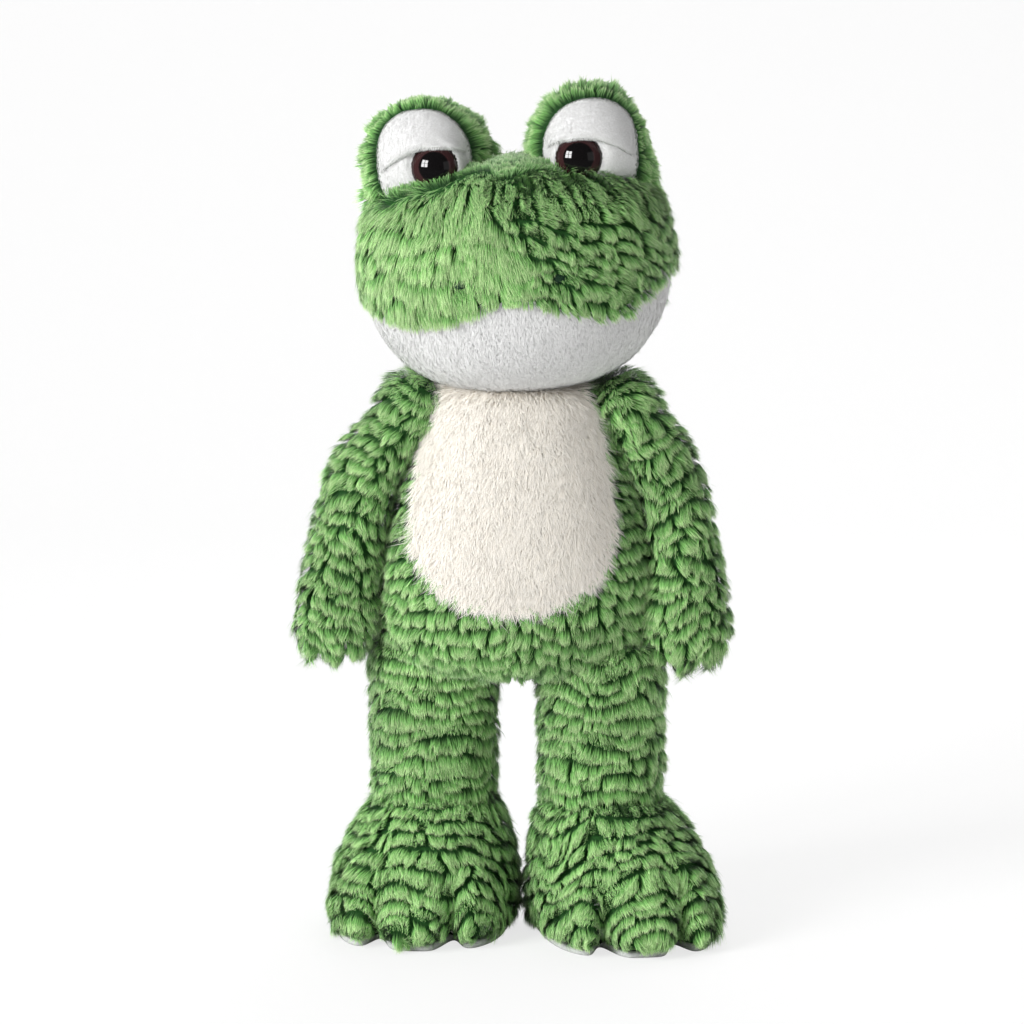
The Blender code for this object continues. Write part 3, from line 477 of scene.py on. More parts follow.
def fur_material(name, root, middle, tip, deep, bright):
    """Ramps: root to tip up the map, multiplied by the strand's tone, which runs across the map."""
    material, nodes, links = new_material(name)
    shader = nodes["Principled BSDF"]
    shader.inputs["Roughness"].default_value = 0.75
    shader.inputs["Specular IOR Level"].default_value = 0.25
    shader.inputs["Sheen Weight"].default_value = 0.25
    shader.inputs["Sheen Roughness"].default_value = 0.5
    place = nodes.new("ShaderNodeUVMap")
    place.uv_map = "OFBake"
    split = nodes.new("ShaderNodeSeparateXYZ")
    links.new(place.outputs["UV"], split.inputs[0])
    along = nodes.new("ShaderNodeValToRGB")
    root, middle, tip = paint(*root), paint(*middle), paint(*tip)
    # The ramp paints shade on the root and lower part of each strand, and paints light on its tip.
    set_ramp(along, ((0.0, root), (0.25, root), (0.62, middle), (1.0, tip)))
    links.new(split.outputs["Y"], along.inputs[0])
    tone = nodes.new("ShaderNodeValToRGB")
    set_ramp(tone, ((0.0, (deep,) * 3), (1.0, (bright,) * 3)))
    links.new(split.outputs["X"], tone.inputs[0])
    mix = nodes.new("ShaderNodeMix")
    mix.data_type, mix.blend_type = "RGBA", "MULTIPLY"
    mix.inputs["Factor"].default_value = 1.0
    links.new(along.outputs["Color"], mix.inputs["A"])
    links.new(tone.outputs["Color"], mix.inputs["B"])
    links.new(mix.outputs["Result"], shader.inputs["Base Color"])
    return material


def cloth_material(name, dark, light, scale, rough=0.9, depth=0.3):
    """Backing cloth: two tones of fine noise in the piece's own space, with the same noise as relief."""
    material, nodes, links = new_material(name)
    shader = nodes["Principled BSDF"]
    shader.inputs["Roughness"].default_value = rough
    shader.inputs["Specular IOR Level"].default_value = 0.2
    place = nodes.new("ShaderNodeTexCoord")
    noise = nodes.new("ShaderNodeTexNoise")
    noise.inputs["Scale"].default_value = scale
    noise.inputs["Detail"].default_value = 4.0
    links.new(place.outputs["Object"], noise.inputs["Vector"])
    ramp = nodes.new("ShaderNodeValToRGB")
    set_ramp(ramp, ((0.30, paint(*dark)), (0.70, paint(*light))))
    links.new(noise.outputs["Fac"], ramp.inputs[0])
    links.new(ramp.outputs["Color"], shader.inputs["Base Color"])
    bump = nodes.new("ShaderNodeBump")
    bump.inputs["Strength"].default_value = depth
    bump.inputs["Distance"].default_value = 0.0004
    links.new(noise.outputs["Fac"], bump.inputs["Height"])
    links.new(bump.outputs["Normal"], shader.inputs["Normal"])
    return material


# %% The frog's fabrics
# Root colours hold painted shade and tip colours hold painted light; deep and bright span each strand's own
# tone.
green_fur = fur_material("green_fur", (34, 82, 30), (128, 190, 100), (230, 255, 192), 0.58, 1.20)
cream_fur = fur_material("cream_fur", (232, 224, 210), (242, 237, 227), (247, 244, 238), 0.96, 1.0)
white_pile = fur_material("white_pile", (220, 220, 219), (234, 234, 233), (242, 242, 241), 0.84, 1.0)
# The green backing is coloured dark as painted shade where it shows between the strands.
green_backing = cloth_material("green_backing", (28, 66, 28), (44, 92, 40), 900)
cream_backing = cloth_material("cream_backing", (232, 222, 206), (242, 234, 220), 900)
white_backing = cloth_material("white_backing", (226, 226, 226), (240, 240, 240), 1100)
sole_backing = cloth_material("sole_backing", (178, 180, 178), (204, 206, 204), 1100)
fibre = cloth_material("fibre_stuffing", (232, 232, 228), (246, 246, 244), 260, depth=0.6)

# %% [markdown]
# ## Fillings
#
# Under its cloth every bag holds a soft filling. It is no surface to look at, but it must never show through
# the fur, also not where the cloth dips between two toes. So it follows the bag's own form.

# %% Filling
FILLING_DEPTH = 0.0030
# Metres round each kind of bag for one radian.
ARC = dict(torso=0.048, head=0.056, hood=0.024, arm=0.014, leg=0.023, foot=0.036)


def add_filling(part, grid, body):
    """The filling of a bag is the bag's own form drawn in, so that it shows nowhere through the fur. It
    takes every second ring, and stays over the floor."""
    points, faces = facing_out(*closed_form(grid[::2]))
    points = points - FILLING_DEPTH * point_normals(points, faces)
    points[:, 2] = np.maximum(points[:, 2], FILLING_DEPTH)
    add_pad(part + "_filling", (points, faces), fibre, body, "fibre_stuffing", part + "_stuffing")


# %% [markdown]
# ## The torso
#
# The body is one pear-shaped bag, with a cream egg let into its front. It is widest low down, where the
# stuffing settles. Its fur is combed down in about twenty rows, and the cream lies over the green.

# %% Torso form
TORSO_ROWS = np.array([
    (0.000, 0.00, 0.00), (0.004, 0.52, 0.54), (0.030, 0.83, 0.80), (0.080, 0.970, 0.93),
    (0.160, 1.030, 1.00), (0.300, 1.020, 0.98), (0.450, 0.960, 0.90), (0.600, 0.870, 0.80),
    (0.740, 0.765, 0.70),
    (0.850, 0.680, 0.63), (0.915, 0.630, 0.57), (0.948, 0.560, 0.49), (0.935, 0.460, 0.41),
    (0.918, 0.300, 0.28), (0.913, 0.00, 0.00),
])
TORSO_HALF_WIDTH, TORSO_HALF_DEPTH = 0.0575, 0.0420


def torso_grid():
    """Rings at the table's heights. A row gives shares of the torso's height, half width and half depth."""
    rows = smooth_rows(TORSO_ROWS, 6)[1:-1]
    rows[:, 1:] = np.maximum(rows[:, 1:], 0.02)
    deep = rows[:, 2] * TORSO_HALF_DEPTH
    height = TORSO_BOTTOM + rows[:, 0] * TORSO_HEIGHT
    return rounded_rings(rows[:, 1] * TORSO_HALF_WIDTH, deep, deep, 2.2, height, 96) + FRAME_SHIFT


torso = stuffed(*facing_out(*closed_form(torso_grid())))

# %% Belly panel
PANEL_MIDDLE = TORSO_BOTTOM + 0.486 * TORSO_HEIGHT
PANEL_HALF_WIDTH, PANEL_UP, PANEL_DOWN = 0.0402, 0.530 * TORSO_HEIGHT, 0.243 * TORSO_HEIGHT
PANEL_ASIDE = -0.0026


def outside_belly(points):
    """How far a point is past the edge of the cream egg, as a share of the egg's own reach. The egg is
    squared above its middle, with the cubes of the two shares, and round below it, with their squares."""
    x, y, z = (points - FRAME_SHIFT).T
    up = z - PANEL_MIDDLE
    across = np.abs(x - PANEL_ASIDE) / (PANEL_HALF_WIDTH * (1 - 0.05 * between(up, 0.005, 0.024)))
    along = np.abs(up) / np.where(up > 0, PANEL_UP, PANEL_DOWN)
    power = np.where(up > 0, 3.0, 2.0)
    return np.where(y < 0, (across**power + along**power) ** (1 / power) - 1, 1.0)


def split_form(form, measure):
    """Two forms from one: the faces at whose middle a measure is negative, and the rest."""
    points, faces = form
    chosen = measure(points[faces].mean(axis=1)) < 0
    return (points, faces[chosen]), (points, faces[~chosen])


belly_form, green_torso = split_form(torso, outside_belly)


def down_the_torso(points, normal):
    """Combed down, and a little out to the sides."""
    x, y, z = (points - FRAME_SHIFT).T
    comb = np.stack([0.25 * x / TORSO_HALF_WIDTH, np.zeros_like(x), -np.ones_like(x)], axis=1)
    return comb, -z - 0.10 * np.abs(x), np.arctan2(y, x) * ARC["torso"]


def down_the_belly(points, normal):
    """Combed down, and out over the edge of the egg, so that the cream lies over the green."""
    x, y, z = (points - FRAME_SHIFT).T
    edge = between(outside_belly(points), -0.35, 0.0)
    out = 0.15 * x / PANEL_HALF_WIDTH + 0.28 * edge * np.sign(x) * np.minimum(np.abs(x) / 0.02, 1)
    down = -1 + 0.4 * edge * between(z, PANEL_MIDDLE, PANEL_MIDDLE + PANEL_UP)
    comb = np.stack([out, np.zeros_like(x), down], axis=1)
    return comb, -z - 0.10 * np.abs(x), np.arctan2(y, x) * ARC["torso"]


def by_the_belly(points):
    """The green is short beside the cream egg."""
    return 1 - 0.45 * np.exp(-((outside_belly(points) / 0.10) ** 2))


def longer_at_the_edge(points):
    """The cream is longer at the edge of the egg."""
    return 1 + 0.20 * between(outside_belly(points), -0.22, 0.0)


add_pad("torso_pad", green_torso, green_backing, "torso", "green_fur", "torso_skin")
add_filling("torso", torso_grid(), "torso")
add_pad("belly_pad", belly_form, cream_backing, "torso", "cream_fur", "belly_panel")
long_coat = Coat()
add_fur("torso_fur", green_torso, down_the_torso, long_coat, green_fur, "torso", "green_fur", 11,
        shorten=by_the_belly)
belly_coat = Coat(
    density=7.0e6, pitch=0.0062, overlap=0.20, lift=0.0024, tuft=0.0020, clump=0.0, ragged=0.1, lean=0.05,
    width=0.00025, wave=0.004, spread=0.20, block=0.006, fluff=0.16, roundness=0.0, frayed=0.7, holes=0,
    locked=0.05, astray=0.9,
)
add_fur("belly_fur", belly_form, down_the_belly, belly_coat, cream_fur, "torso", "cream_fur", 21,
        shorten=longer_at_the_edge)

# %% [markdown]
# ## The head
#
# The head is a wide, soft bag. A seam runs across it in two shallow arcs that meet in a peak under the
# nose: green fur above, short white pile below for the jaw.

# %% Head form
HEAD_BOTTOM, HEAD_HEIGHT = 0.0010, 0.0985
HEAD_HALF_WIDTH, HEAD_FRONT, HEAD_BACK = 0.0650, 0.0590, 0.0500
HEAD_ROWS = np.array([
    (0.000, 0.00, 0.00, 0.00), (0.006, 0.24, 0.30, 0.26), (0.034, 0.45, 0.53, 0.45),
    (0.105, 0.68, 0.735, 0.66), (0.210, 0.84, 0.875, 0.83), (0.320, 0.935, 0.96, 0.93),
    (0.440, 0.985, 1.00, 0.985),
    (0.580, 1.000, 0.98, 1.000), (0.700, 0.980, 0.91, 0.965), (0.805, 0.945, 0.79, 0.875),
    (0.897, 0.830, 0.60, 0.720), (0.962, 0.590, 0.40, 0.480), (1.000, 0.00, 0.00, 0.00),
])


def head_grid():
    """Rings at the table's heights. A row gives shares of the height, the half width and the reach forwards
    and backwards."""
    rows = smooth_rows(HEAD_ROWS, 6)[1:-1]
    rows[:, 1:] = np.maximum(rows[:, 1:], 0.02)
    height = HEAD_BOTTOM + rows[:, 0] * HEAD_HEIGHT
    wide, front, back = rows[:, 1] * HEAD_HALF_WIDTH, rows[:, 2] * HEAD_FRONT, rows[:, 3] * HEAD_BACK
    return on_head(rounded_rings(wide, front, back, 2.3, height, 120))


head = stuffed(*facing_out(*closed_form(head_grid())))

# %% The mouth seam
MOUTH_PEAK = HEAD_BOTTOM + 0.388 * HEAD_HEIGHT
MOUTH_DIP, MOUTH_DIP_X = {1: 0.0074, -1: 0.0056}, 0.0370
MOUTH_END_RISE, MOUTH_END_X = {1: 0.0265, -1: 0.0165}, 0.0680
CHEEK_Y, JAW_BACK = 0.0120, 0.0340
FRINGE = 0.0052
PARTING_Z = 0.0900
NOSTRIL_X, NOSTRIL_Z = 0.0204, HEAD_BOTTOM + 0.467 * HEAD_HEIGHT
BUMP_X, BUMP_Y, BUMP_Z = 0.0350, -0.0080, HEAD_BOTTOM + 1.005 * HEAD_HEIGHT


def over_mouth(points):
    """How far a point of the head is above the mouth seam: a cosine dip on each side of the peak, then a
    rise to the cheek, higher on the frog's left. Behind the cheeks it curves down under the head."""
    x, y, z = about_head(points).T
    away = np.abs(x)
    wave = 1 - np.cos(np.pi * np.minimum(away, MOUTH_DIP_X) / MOUTH_DIP_X)
    dip = np.where(x > 0, MOUTH_DIP[1], MOUTH_DIP[-1]) * wave / 2
    climb = np.maximum(away - MOUTH_DIP_X, 0) / (MOUTH_END_X - MOUTH_DIP_X)
    seam = MOUTH_PEAK - dip + np.where(x > 0, MOUTH_END_RISE[1], MOUTH_END_RISE[-1]) * climb**2
    behind = np.maximum(y - CHEEK_Y, 0) / (JAW_BACK - CHEEK_Y)
    return z - seam + MOUTH_PEAK * behind**2


jaw_form, green_head = split_form(head, over_mouth)

# %% How the head's fur lies


def beside_the_bumps(points):
    """No fur grows on the head where an eye bump stands on it."""
    x, y, z = about_head(points).T
    return ((np.abs(x) - BUMP_X) / 0.0200) ** 2 + ((y - BUMP_Y) / 0.0180) ** 2 > 1


def above_the_mouth(points):
    """No hair of the head hangs further than the fringe below the mouth seam."""
    near_peak = np.exp(-((about_head(points)[:, 0] / 0.010) ** 2))
    return np.maximum(over_mouth(points), 0) + FRINGE * (1 - 0.55 * near_peak)


def over_the_head(points, normal):
    """A parting runs across the brow. Under it the fur is combed down and out over the cheeks, more so
    on the frog's left. Over it the fur stands up against the eyes and goes over the crown."""
    x, y, z = about_head(points).T
    side = x / HEAD_HALF_WIDTH
    front = between(-y, -0.012, 0.010)
    parting = PARTING_Z + 0.0022 * waves(points, 0.022, 7) - 0.004 * side**2
    parting = parting - 0.0035 * between(-x, 0.014, 0.024)
    up = front * between(z, parting - 0.0012, parting + 0.0012)
    high = between(z, 0.072, 0.090)
    over, brow = high * (1 - front), high * front * (1 - up) * between(x, -0.034, -0.018)
    comb = np.stack([0.55 * side + 0.24 * (1 - up), 0.8 * over - 0.9 * brow, 2.4 * up - 1.2], axis=1)
    down = np.where(up > 0.5, 0.7 * z + y, -z - 0.20 * x + 0.5 * over * y - 0.6 * brow * y)
    return comb @ HEAD_TURN.T, down, np.arctan2(y, x) * ARC["head"]


def down_the_jaw(points, normal):
    """Brushed down and away from the middle, like short white plush."""
    x, y, z = about_head(points).T
    comb = np.stack([0.35 * x / HEAD_HALF_WIDTH + 0.15, np.zeros_like(x), -np.ones_like(x)], axis=1)
    return comb @ HEAD_TURN.T, -z, np.arctan2(y, x) * ARC["head"]


def by_the_nostrils(points):
    """The fur is short round the stitched nostrils, and longer or shorter along the brow."""
    x, y, z = about_head(points).T
    away = np.hypot(np.abs(x) - NOSTRIL_X, z - NOSTRIL_Z - 0.002)
    brow = 1 + np.where(x < -0.020, 0.45, -0.30) * between(z, PARTING_Z - 0.006, PARTING_Z + 0.001)
    bare = np.where(x < 0, 0.0014, 0.0008)
    return np.where(y < 0, brow * np.clip((away - bare) / 0.0042, 0.20, 1.0), 1.0)


def smooth_side(points):
    """The fur of the frog's right cheek and brow lies smooth. Elsewhere on the head it is ruffled."""
    x, y, z = about_head(points).T
    return (x + 0.010 * waves(points, 0.030, 9) < -0.006) & (y < 0.02)


def part_of_head(smooth):
    def chosen(points):
        """The smooth or the ruffled part, without what the eye bumps cover."""
        return (smooth_side(points) == smooth) & beside_the_bumps(points)

    return chosen


# %% Head, jaw and their fur
add_pad("head_pad", green_head, green_backing, "head", "green_fur", "head_skin")
add_filling("head", head_grid(), "head")
add_pad("jaw_pad", jaw_form, white_backing, "head", "white_pile", "jaw_panel")
smooth_coat = Coat(
    pitch=0.0084, overlap=0.34, lift=0.0032, tuft=0.0052, ragged=0.40, lean=0.24, clump=0.2, wave=0.0044,
    spread=0.55, frayed=0.55, holes=0.04,
)
ruffled_coat = Coat(pitch=0.0058, overlap=0.34, lift=0.0042, tuft=0.0034, ragged=0.48, lean=0.50, holes=0.08)
for name, coat in (("smooth", smooth_coat), ("ruffled", ruffled_coat)):
    add_fur("head_fur_" + name, green_head, over_the_head, coat, green_fur, "head", "green_fur", 31,
            part_of_head(name == "smooth"), by_the_nostrils, above_the_mouth)
# A tone of 0.80 paints the downward-facing jaw brighter than the same pile on the eye whites and lids, as
# painted light.
jaw_coat = Coat(
    density=4.9e6, pitch=0.0030, overlap=0.20, lift=0.0012, tuft=0.0016, clump=0.0, ragged=0.4, lean=0.14,
    width=0.00024, wave=0.003, spread=0.20, stray=0.03, block=0.005, fluff=0.16, roundness=0.0, frayed=0.5,
    holes=0, locked=0.05, astray=0.7, tone=0.80,
)
add_fur("jaw_pile", jaw_form, down_the_jaw, jaw_coat, white_pile, "head", "white_pile", 41)

# %% [markdown]
# ## The eye bumps
#
# Each eye sits on a round bump. A green hood covers its back and sides, a white face closes it in front,
# and a half-moon of white pile is sewn over the top of the plastic eye as a sleepy lid.

# %% Bump sizes
BUMP_WIDE, BUMP_DEEP, BUMP_TALL = 0.0245, 0.0220, 0.0270
EYE_INWARD, EYE_DOWN, EYE_RADIUS, EYE_DOME = 0.0047, 0.0030, 0.0100, 0.0055
WINDOW, WINDOW_CORNER = 0.790, 2.5
HOOD_REACH = {1: (1.00, 0.93, 0.98), -1: (1.06, 1.00, 0.945)}
HOOD_FUR_FROM = 0.070
SEAT = -BUMP_DEEP * math.sqrt(1 - (EYE_INWARD / BUMP_WIDE) ** 2 - (EYE_DOWN / BUMP_TALL) ** 2) + 0.0013
PILE = 0.0015


def bump_front(x, z):
    """The bump's front is an ellipsoid: depth * the root of what the two other squares leave of one."""
    return -BUMP_DEEP * np.sqrt(np.maximum(1 - (x / BUMP_WIDE) ** 2 - (z / BUMP_TALL) ** 2, 0))


def eye_dome(distance):
    """A cap of a ball that passes through the eye's rim and rises EYE_DOME over it."""
    ball = (EYE_RADIUS**2 + EYE_DOME**2) / (2 * EYE_DOME)
    return SEAT - (np.sqrt(ball**2 - np.minimum(distance, EYE_RADIUS) ** 2) - ball + EYE_DOME)


def bump_place(sign):
    """The middle of a bump, measured from the neck of an upright head."""
    return np.array([sign * BUMP_X, BUMP_Y, BUMP_Z])


def squared(angle, sign, outer, inner):
    """Two factors from -1 to 1 across and up. They trace an ellipse whose outer half is squared."""
    across, up = np.cos(angle), np.sin(angle)
    power = 2 / np.where(across * sign > 0, outer, inner)
    return np.sign(across) * np.abs(across) ** power, np.sign(up) * np.abs(up) ** power


def hood_grid(sign):
    """Rings about Y, from the window's rim over the widest place to the back. The rim has the window's
    shape, and low down the hood is squared, so that it runs into the side of the head."""
    degrees = np.radians(np.linspace(51, 176, 28))[:, None]
    angle = np.arange(72) * (2 * math.pi / 72)
    share = between(degrees, degrees[0], degrees[8])
    low = angle > math.pi
    rim = squared(angle, sign, WINDOW_CORNER, 2.0)
    body = squared(angle, sign, np.where(low, 5.0, 2.0), np.where(low, 3.0, 2.0))
    inner, outer, top = HOOD_REACH[sign]
    outside = np.cos(angle) * sign > 0
    wide = np.where(outside & ~low, outer, 1.0) * np.where(outside, 1.0, inner)
    x = BUMP_WIDE * np.sin(degrees) * (rim[0] * (1 - share) + wide * body[0] * share)
    z = BUMP_TALL * np.sin(degrees) * (rim[1] * (1 - share) + np.where(low, 1.0, top) * body[1] * share)
    y = (1 - share) * bump_front(x, z) - share * BUMP_DEEP * np.cos(degrees)
    return on_head(np.stack([x, y, z], axis=2) + bump_place(sign))


def white_grid(sign):
    """The white face: rings from under the eye's rim out to the window, and a little way into the hood."""
    share = np.concatenate([np.linspace(0, 1, 16), [1.0]])[:, None]
    angle = np.arange(64) * (2 * math.pi / 64)
    start = 0.55 * EYE_RADIUS
    across, up = squared(angle, sign, WINDOW_CORNER, 2.0)
    inner_x, inner_z = -sign * EYE_INWARD + start * np.cos(angle), -EYE_DOWN + start * np.sin(angle)
    x = (1 - share) * inner_x + share * WINDOW * 1.02 * BUMP_WIDE * across
    z = (1 - share) * inner_z + share * WINDOW * 1.02 * BUMP_TALL * up
    y = np.maximum(bump_front(x, z), SEAT - PILE)
    near = np.hypot(x + sign * EYE_INWARD, z + EYE_DOWN)
    y = SEAT + (y - SEAT) * between(near, EYE_RADIUS, EYE_RADIUS + 0.004)
    y[-1] += 0.005
    return on_head(np.stack([x, y, z], axis=2) + bump_place(sign))


def open_form(grid, closed_around):
    """Points and triangles of a sheet, which may be closed round like a tube."""
    rows, columns = grid.shape[:2]
    number = np.arange(rows * columns).reshape(rows, columns)
    if closed_around:
        number = np.concatenate([number, number[:, :1]], axis=1)
    a, b = number[:-1, :-1].ravel(), number[:-1, 1:].ravel()
    c, d = number[1:, 1:].ravel(), number[1:, :-1].ravel()
    return grid.reshape(-1, 3), np.vstack([np.stack([a, b, c], axis=1), np.stack([a, c, d], axis=1)])


def turned_to(form, way):
    """The form with its faces turned, if need be, so that on the whole they look along a direction."""
    points, faces = form
    corners = points[faces]
    total = np.cross(corners[:, 1] - corners[:, 0], corners[:, 2] - corners[:, 0]).sum(axis=0)
    return (points, faces) if total @ np.asarray(way) > 0 else (points, faces[:, ::-1])


# %% Hoods and white faces
HEAD_FORWARD = HEAD_TURN @ np.array([0.0, -1.0, 0.0])


def over_the_hood(sign):
    def placing(points, normal):
        """Combed back from the window, and a little down at the sides."""
        x, y, z = (about_head(points) - bump_place(sign)).T
        comb = np.stack([x * 12, np.full_like(x, 1.0), z * 12 - 0.25], axis=1) @ HEAD_TURN.T
        return comb, y, np.arctan2(z, x) * ARC["hood"]

    return placing


def hood_pile(sign):
    def shorter(points):
        """Shorter pile over the frog's right bump, and on the outside of its left one."""
        x, y, z = (about_head(points) - bump_place(sign)).T
        if sign < 0:
            return 1 - 0.35 * between(z / BUMP_TALL, 0.3, 0.9)
        return 1 - 0.45 * between(x / BUMP_WIDE, 0.3, 0.8) * between(z / BUMP_TALL, -0.4, 0.2)

    return shorter


def out_of_the_head(points):
    """Only the part of a hood that stands out of the head has fur."""
    return about_head(points)[:, 2] > HOOD_FUR_FROM


def add_hood(side, sign):
    form = turned_to(open_form(hood_grid(sign), True), -HEAD_FORWARD)
    add_pad(side + "_hood_pad", form, green_backing, "head", "green_fur", side + "_eye_hood")
    add_fur(side + "_hood_fur", form, over_the_hood(sign), long_coat, green_fur, "head", "green_fur",
            51 + sign, out_of_the_head, hood_pile(sign))


# A tone of 0.40 paints the eye whites and lids darker than the jaw's pile of the same cloth, as painted
# shade.
short_pile = Coat(
    density=8.0e6, pitch=0.0017, overlap=0.15, lift=0.0005, tuft=0.0012, clump=0.0, ragged=0.3, lean=0.14,
    width=0.00021, wave=0.002, spread=0.20, stray=0.02, block=0.004, fluff=0.12, roundness=0.04, frayed=0.4,
    holes=0, locked=0.05, tone=0.40,
)


def add_white(side, sign):
    form = turned_to(open_form(white_grid(sign), True), HEAD_FORWARD)
    add_pad(side + "_white_pad", form, white_backing, "head", "white_pile", side + "_eye_white")
    add_fur(side + "_white_pile", form, down_the_jaw, short_pile, white_pile, "head", "white_pile",
            61 + sign)


for side, sign in SIDES:
    add_hood(side, sign)
    add_white(side, sign)

# %% [markdown]
# ### Lids
#
# The lid is a small cushion: thin where it is sewn round the window, and fullest just above the eye,
# where it rolls over the dome and ends in a soft edge.

# %% Lids
LID_HALF_WIDTH, LID_LIFT, LID_OUTER_DROP, LID_INNER_DROP = 0.0182, 0.0052, 0.0052, 0.0040


def lid_grid(sign):
    """Two layers, front then back, as one tube: round the tube the point goes up the front and down the
    back. The front stands off the back by a bulge that is full near the lower edge."""
    across = np.linspace(-1, 1, 41)[:, None]
    outward = LID_HALF_WIDTH * across
    from_eye = (outward + EYE_INWARD) / LID_HALF_WIDTH
    low = LID_LIFT - np.where(from_eye > 0, LID_OUTER_DROP, LID_INNER_DROP) * from_eye**2
    corner = np.where(outward > 0, WINDOW_CORNER, 2.0)
    edge = np.minimum(np.abs(outward) / (WINDOW * BUMP_WIDE), 1)
    high = np.maximum(WINDOW * BUMP_TALL * (1 - edge**corner) ** (1 / corner), low + 0.0004)
    up = np.concatenate([np.linspace(0, 1, 18), np.linspace(1, 0, 18)])[None, :]
    front = np.concatenate([np.ones(18), np.zeros(18)])[None, :]
    x, z = sign * outward + 0 * up, low + up * (high - low)
    distance = np.hypot(x + sign * EYE_INWARD, z + EYE_DOWN)
    face = np.maximum(bump_front(x, z), SEAT - PILE)
    over = np.where(distance < EYE_RADIUS, eye_dome(distance), SEAT)
    soft = np.clip(1.3 - (distance - 0.8 * EYE_RADIUS) / 0.005, 0, 1)
    base = np.minimum(face, over * soft + face * (1 - soft)) - 0.0005
    bulge = 0.0022 * np.minimum(1, 6 * up + 0.25) ** 0.5 * np.sqrt(np.maximum(1 - (up * 0.9) ** 2, 0))
    bulge = bulge * np.sqrt(np.maximum(1 - across**4, 0)) + 0.0003
    return on_head(np.stack([x, base - front * bulge, z], axis=2) + bump_place(sign))


def add_lid(side, sign):
    form = facing_out(*closed_form(lid_grid(sign)))
    add_pad(side + "_lid_pad", form, white_backing, "head", "white_pile", side + "_eyelid")
    add_fur(side + "_lid_pile", form, down_the_jaw, short_pile, white_pile, "head", "white_pile", 71 + sign)


for side, sign in SIDES:
    add_lid(side, sign)

# %% [markdown]
# ### Plastic eyes
#
# A safety eye is a glossy dome, dark brown round a black pupil. The colours are rings in a map that looks
# straight at the dome, and a clear coat gives the window's reflection.

# %% Eyes


def eye_material():
    """The distance from the middle of the map goes through a ramp of black, brown and a dark rim."""
    material, nodes, links = new_material("eye_plastic")
    shader = nodes["Principled BSDF"]
    shader.inputs["Roughness"].default_value = 0.12
    shader.inputs["Specular IOR Level"].default_value = 0.0
    shader.inputs["Coat Weight"].default_value = 1.0
    shader.inputs["Coat Roughness"].default_value = 0.03
    place = nodes.new("ShaderNodeUVMap")
    place.uv_map = "OFBake"
    middle = nodes.new("ShaderNodeVectorMath")
    middle.operation = "SUBTRACT"
    middle.inputs[1].default_value = (0.5, 0.5, 0.0)
    links.new(place.outputs["UV"], middle.inputs[0])
    distance = nodes.new("ShaderNodeVectorMath")
    distance.operation = "LENGTH"
    links.new(middle.outputs["Vector"], distance.inputs[0])
    ramp = nodes.new("ShaderNodeValToRGB")
    black, brown, rim = paint(9, 7, 8), paint(50, 29, 30), paint(24, 13, 14)
    rings = ((0.0, black), (0.290, black), (0.315, brown), (0.415, brown), (0.455, rim), (1.0, black))
    set_ramp(ramp, rings)
    links.new(distance.outputs["Value"], ramp.inputs[0])
    links.new(ramp.outputs["Color"], shader.inputs["Base Color"])
    return material


eye_plastic = eye_material()


def add_eye(side, sign):
    """A dome turned about Y, then a short rim, a flat back and the shank down to its end."""
    share = np.linspace(0.02, 1, 24)
    radius = np.concatenate([EYE_RADIUS * share, [EYE_RADIUS, 0.0025, 0.0025]])
    y = np.concatenate([eye_dome(EYE_RADIUS * share), [SEAT - 0.0003, SEAT - 0.0003, SEAT + 0.0059]])
    angle = np.arange(72) * (2 * math.pi / 72)
    grid = np.stack([radius[:, None] * np.cos(angle), np.broadcast_to(y[:, None], (len(y), 72)),
                     radius[:, None] * np.sin(angle)], axis=2)
    flat = grid + (-sign * EYE_INWARD, 0, -EYE_DOWN)
    points, faces = facing_out(*closed_form(on_head(flat + bump_place(sign))))
    seen = np.vstack([grid.reshape(-1, 3), [(0, 0, 0), (0, 0, 0)]])[:, (0, 2)] / (2.1 * EYE_RADIUS) + 0.5
    eye = add_piece(side + "_plastic_eye", points, faces, eye_plastic, "head", "eye_plastic",
                    seen[faces.ravel()])
    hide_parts(side + "_eye")


for side, sign in SIDES:
    add_eye(side, sign)

# %% [markdown]
# ## Arms
#
# An arm is a sleeve sewn into the side seam. It hangs from a round shoulder, leans out, and swells to a
# mitten hand, so its fur is combed down the sleeve.

# %% Arm forms
SHOULDER = np.array([0.0440, -0.0010, TORSO_BOTTOM + 0.864 * TORSO_HEIGHT])
ARMS = {
    "left": dict(sign=1, length=0.1062, reach=0.0278, forward=0.0160, hand=0.0185, aside=-0.0024, tip=0.0016),
    "right": dict(sign=-1, length=0.1025, reach=0.0322, forward=0.0140, hand=0.0155, aside=0.0, tip=0.0036),
}
FINGER = 0.0026
SHOULDER_RADIUS = 0.0148
SLEEVE_HALF_WIDTH, SLEEVE_HALF_DEPTH, HAND_HALF_DEPTH = 0.0142, 0.0125, 0.0130
ARM_ROWS = np.array([
    (0.000, 0.00, 0.00, 1.05), (0.150, 0.44, 0.00, 1.06), (0.300, 0.70, 0.00, 0.98),
    (0.460, 0.85, 0.00, 0.95), (0.620, 0.94, 0.25, 1.00), (0.760, 1.00, 0.75, 1.00),
    (0.870, 1.00, 1.00, 1.00), (0.950, 0.98, 1.00, 0.80), (0.990, 0.97, 1.00, 0.42),
    (1.000, 0.97, 1.00, 0.05),
])


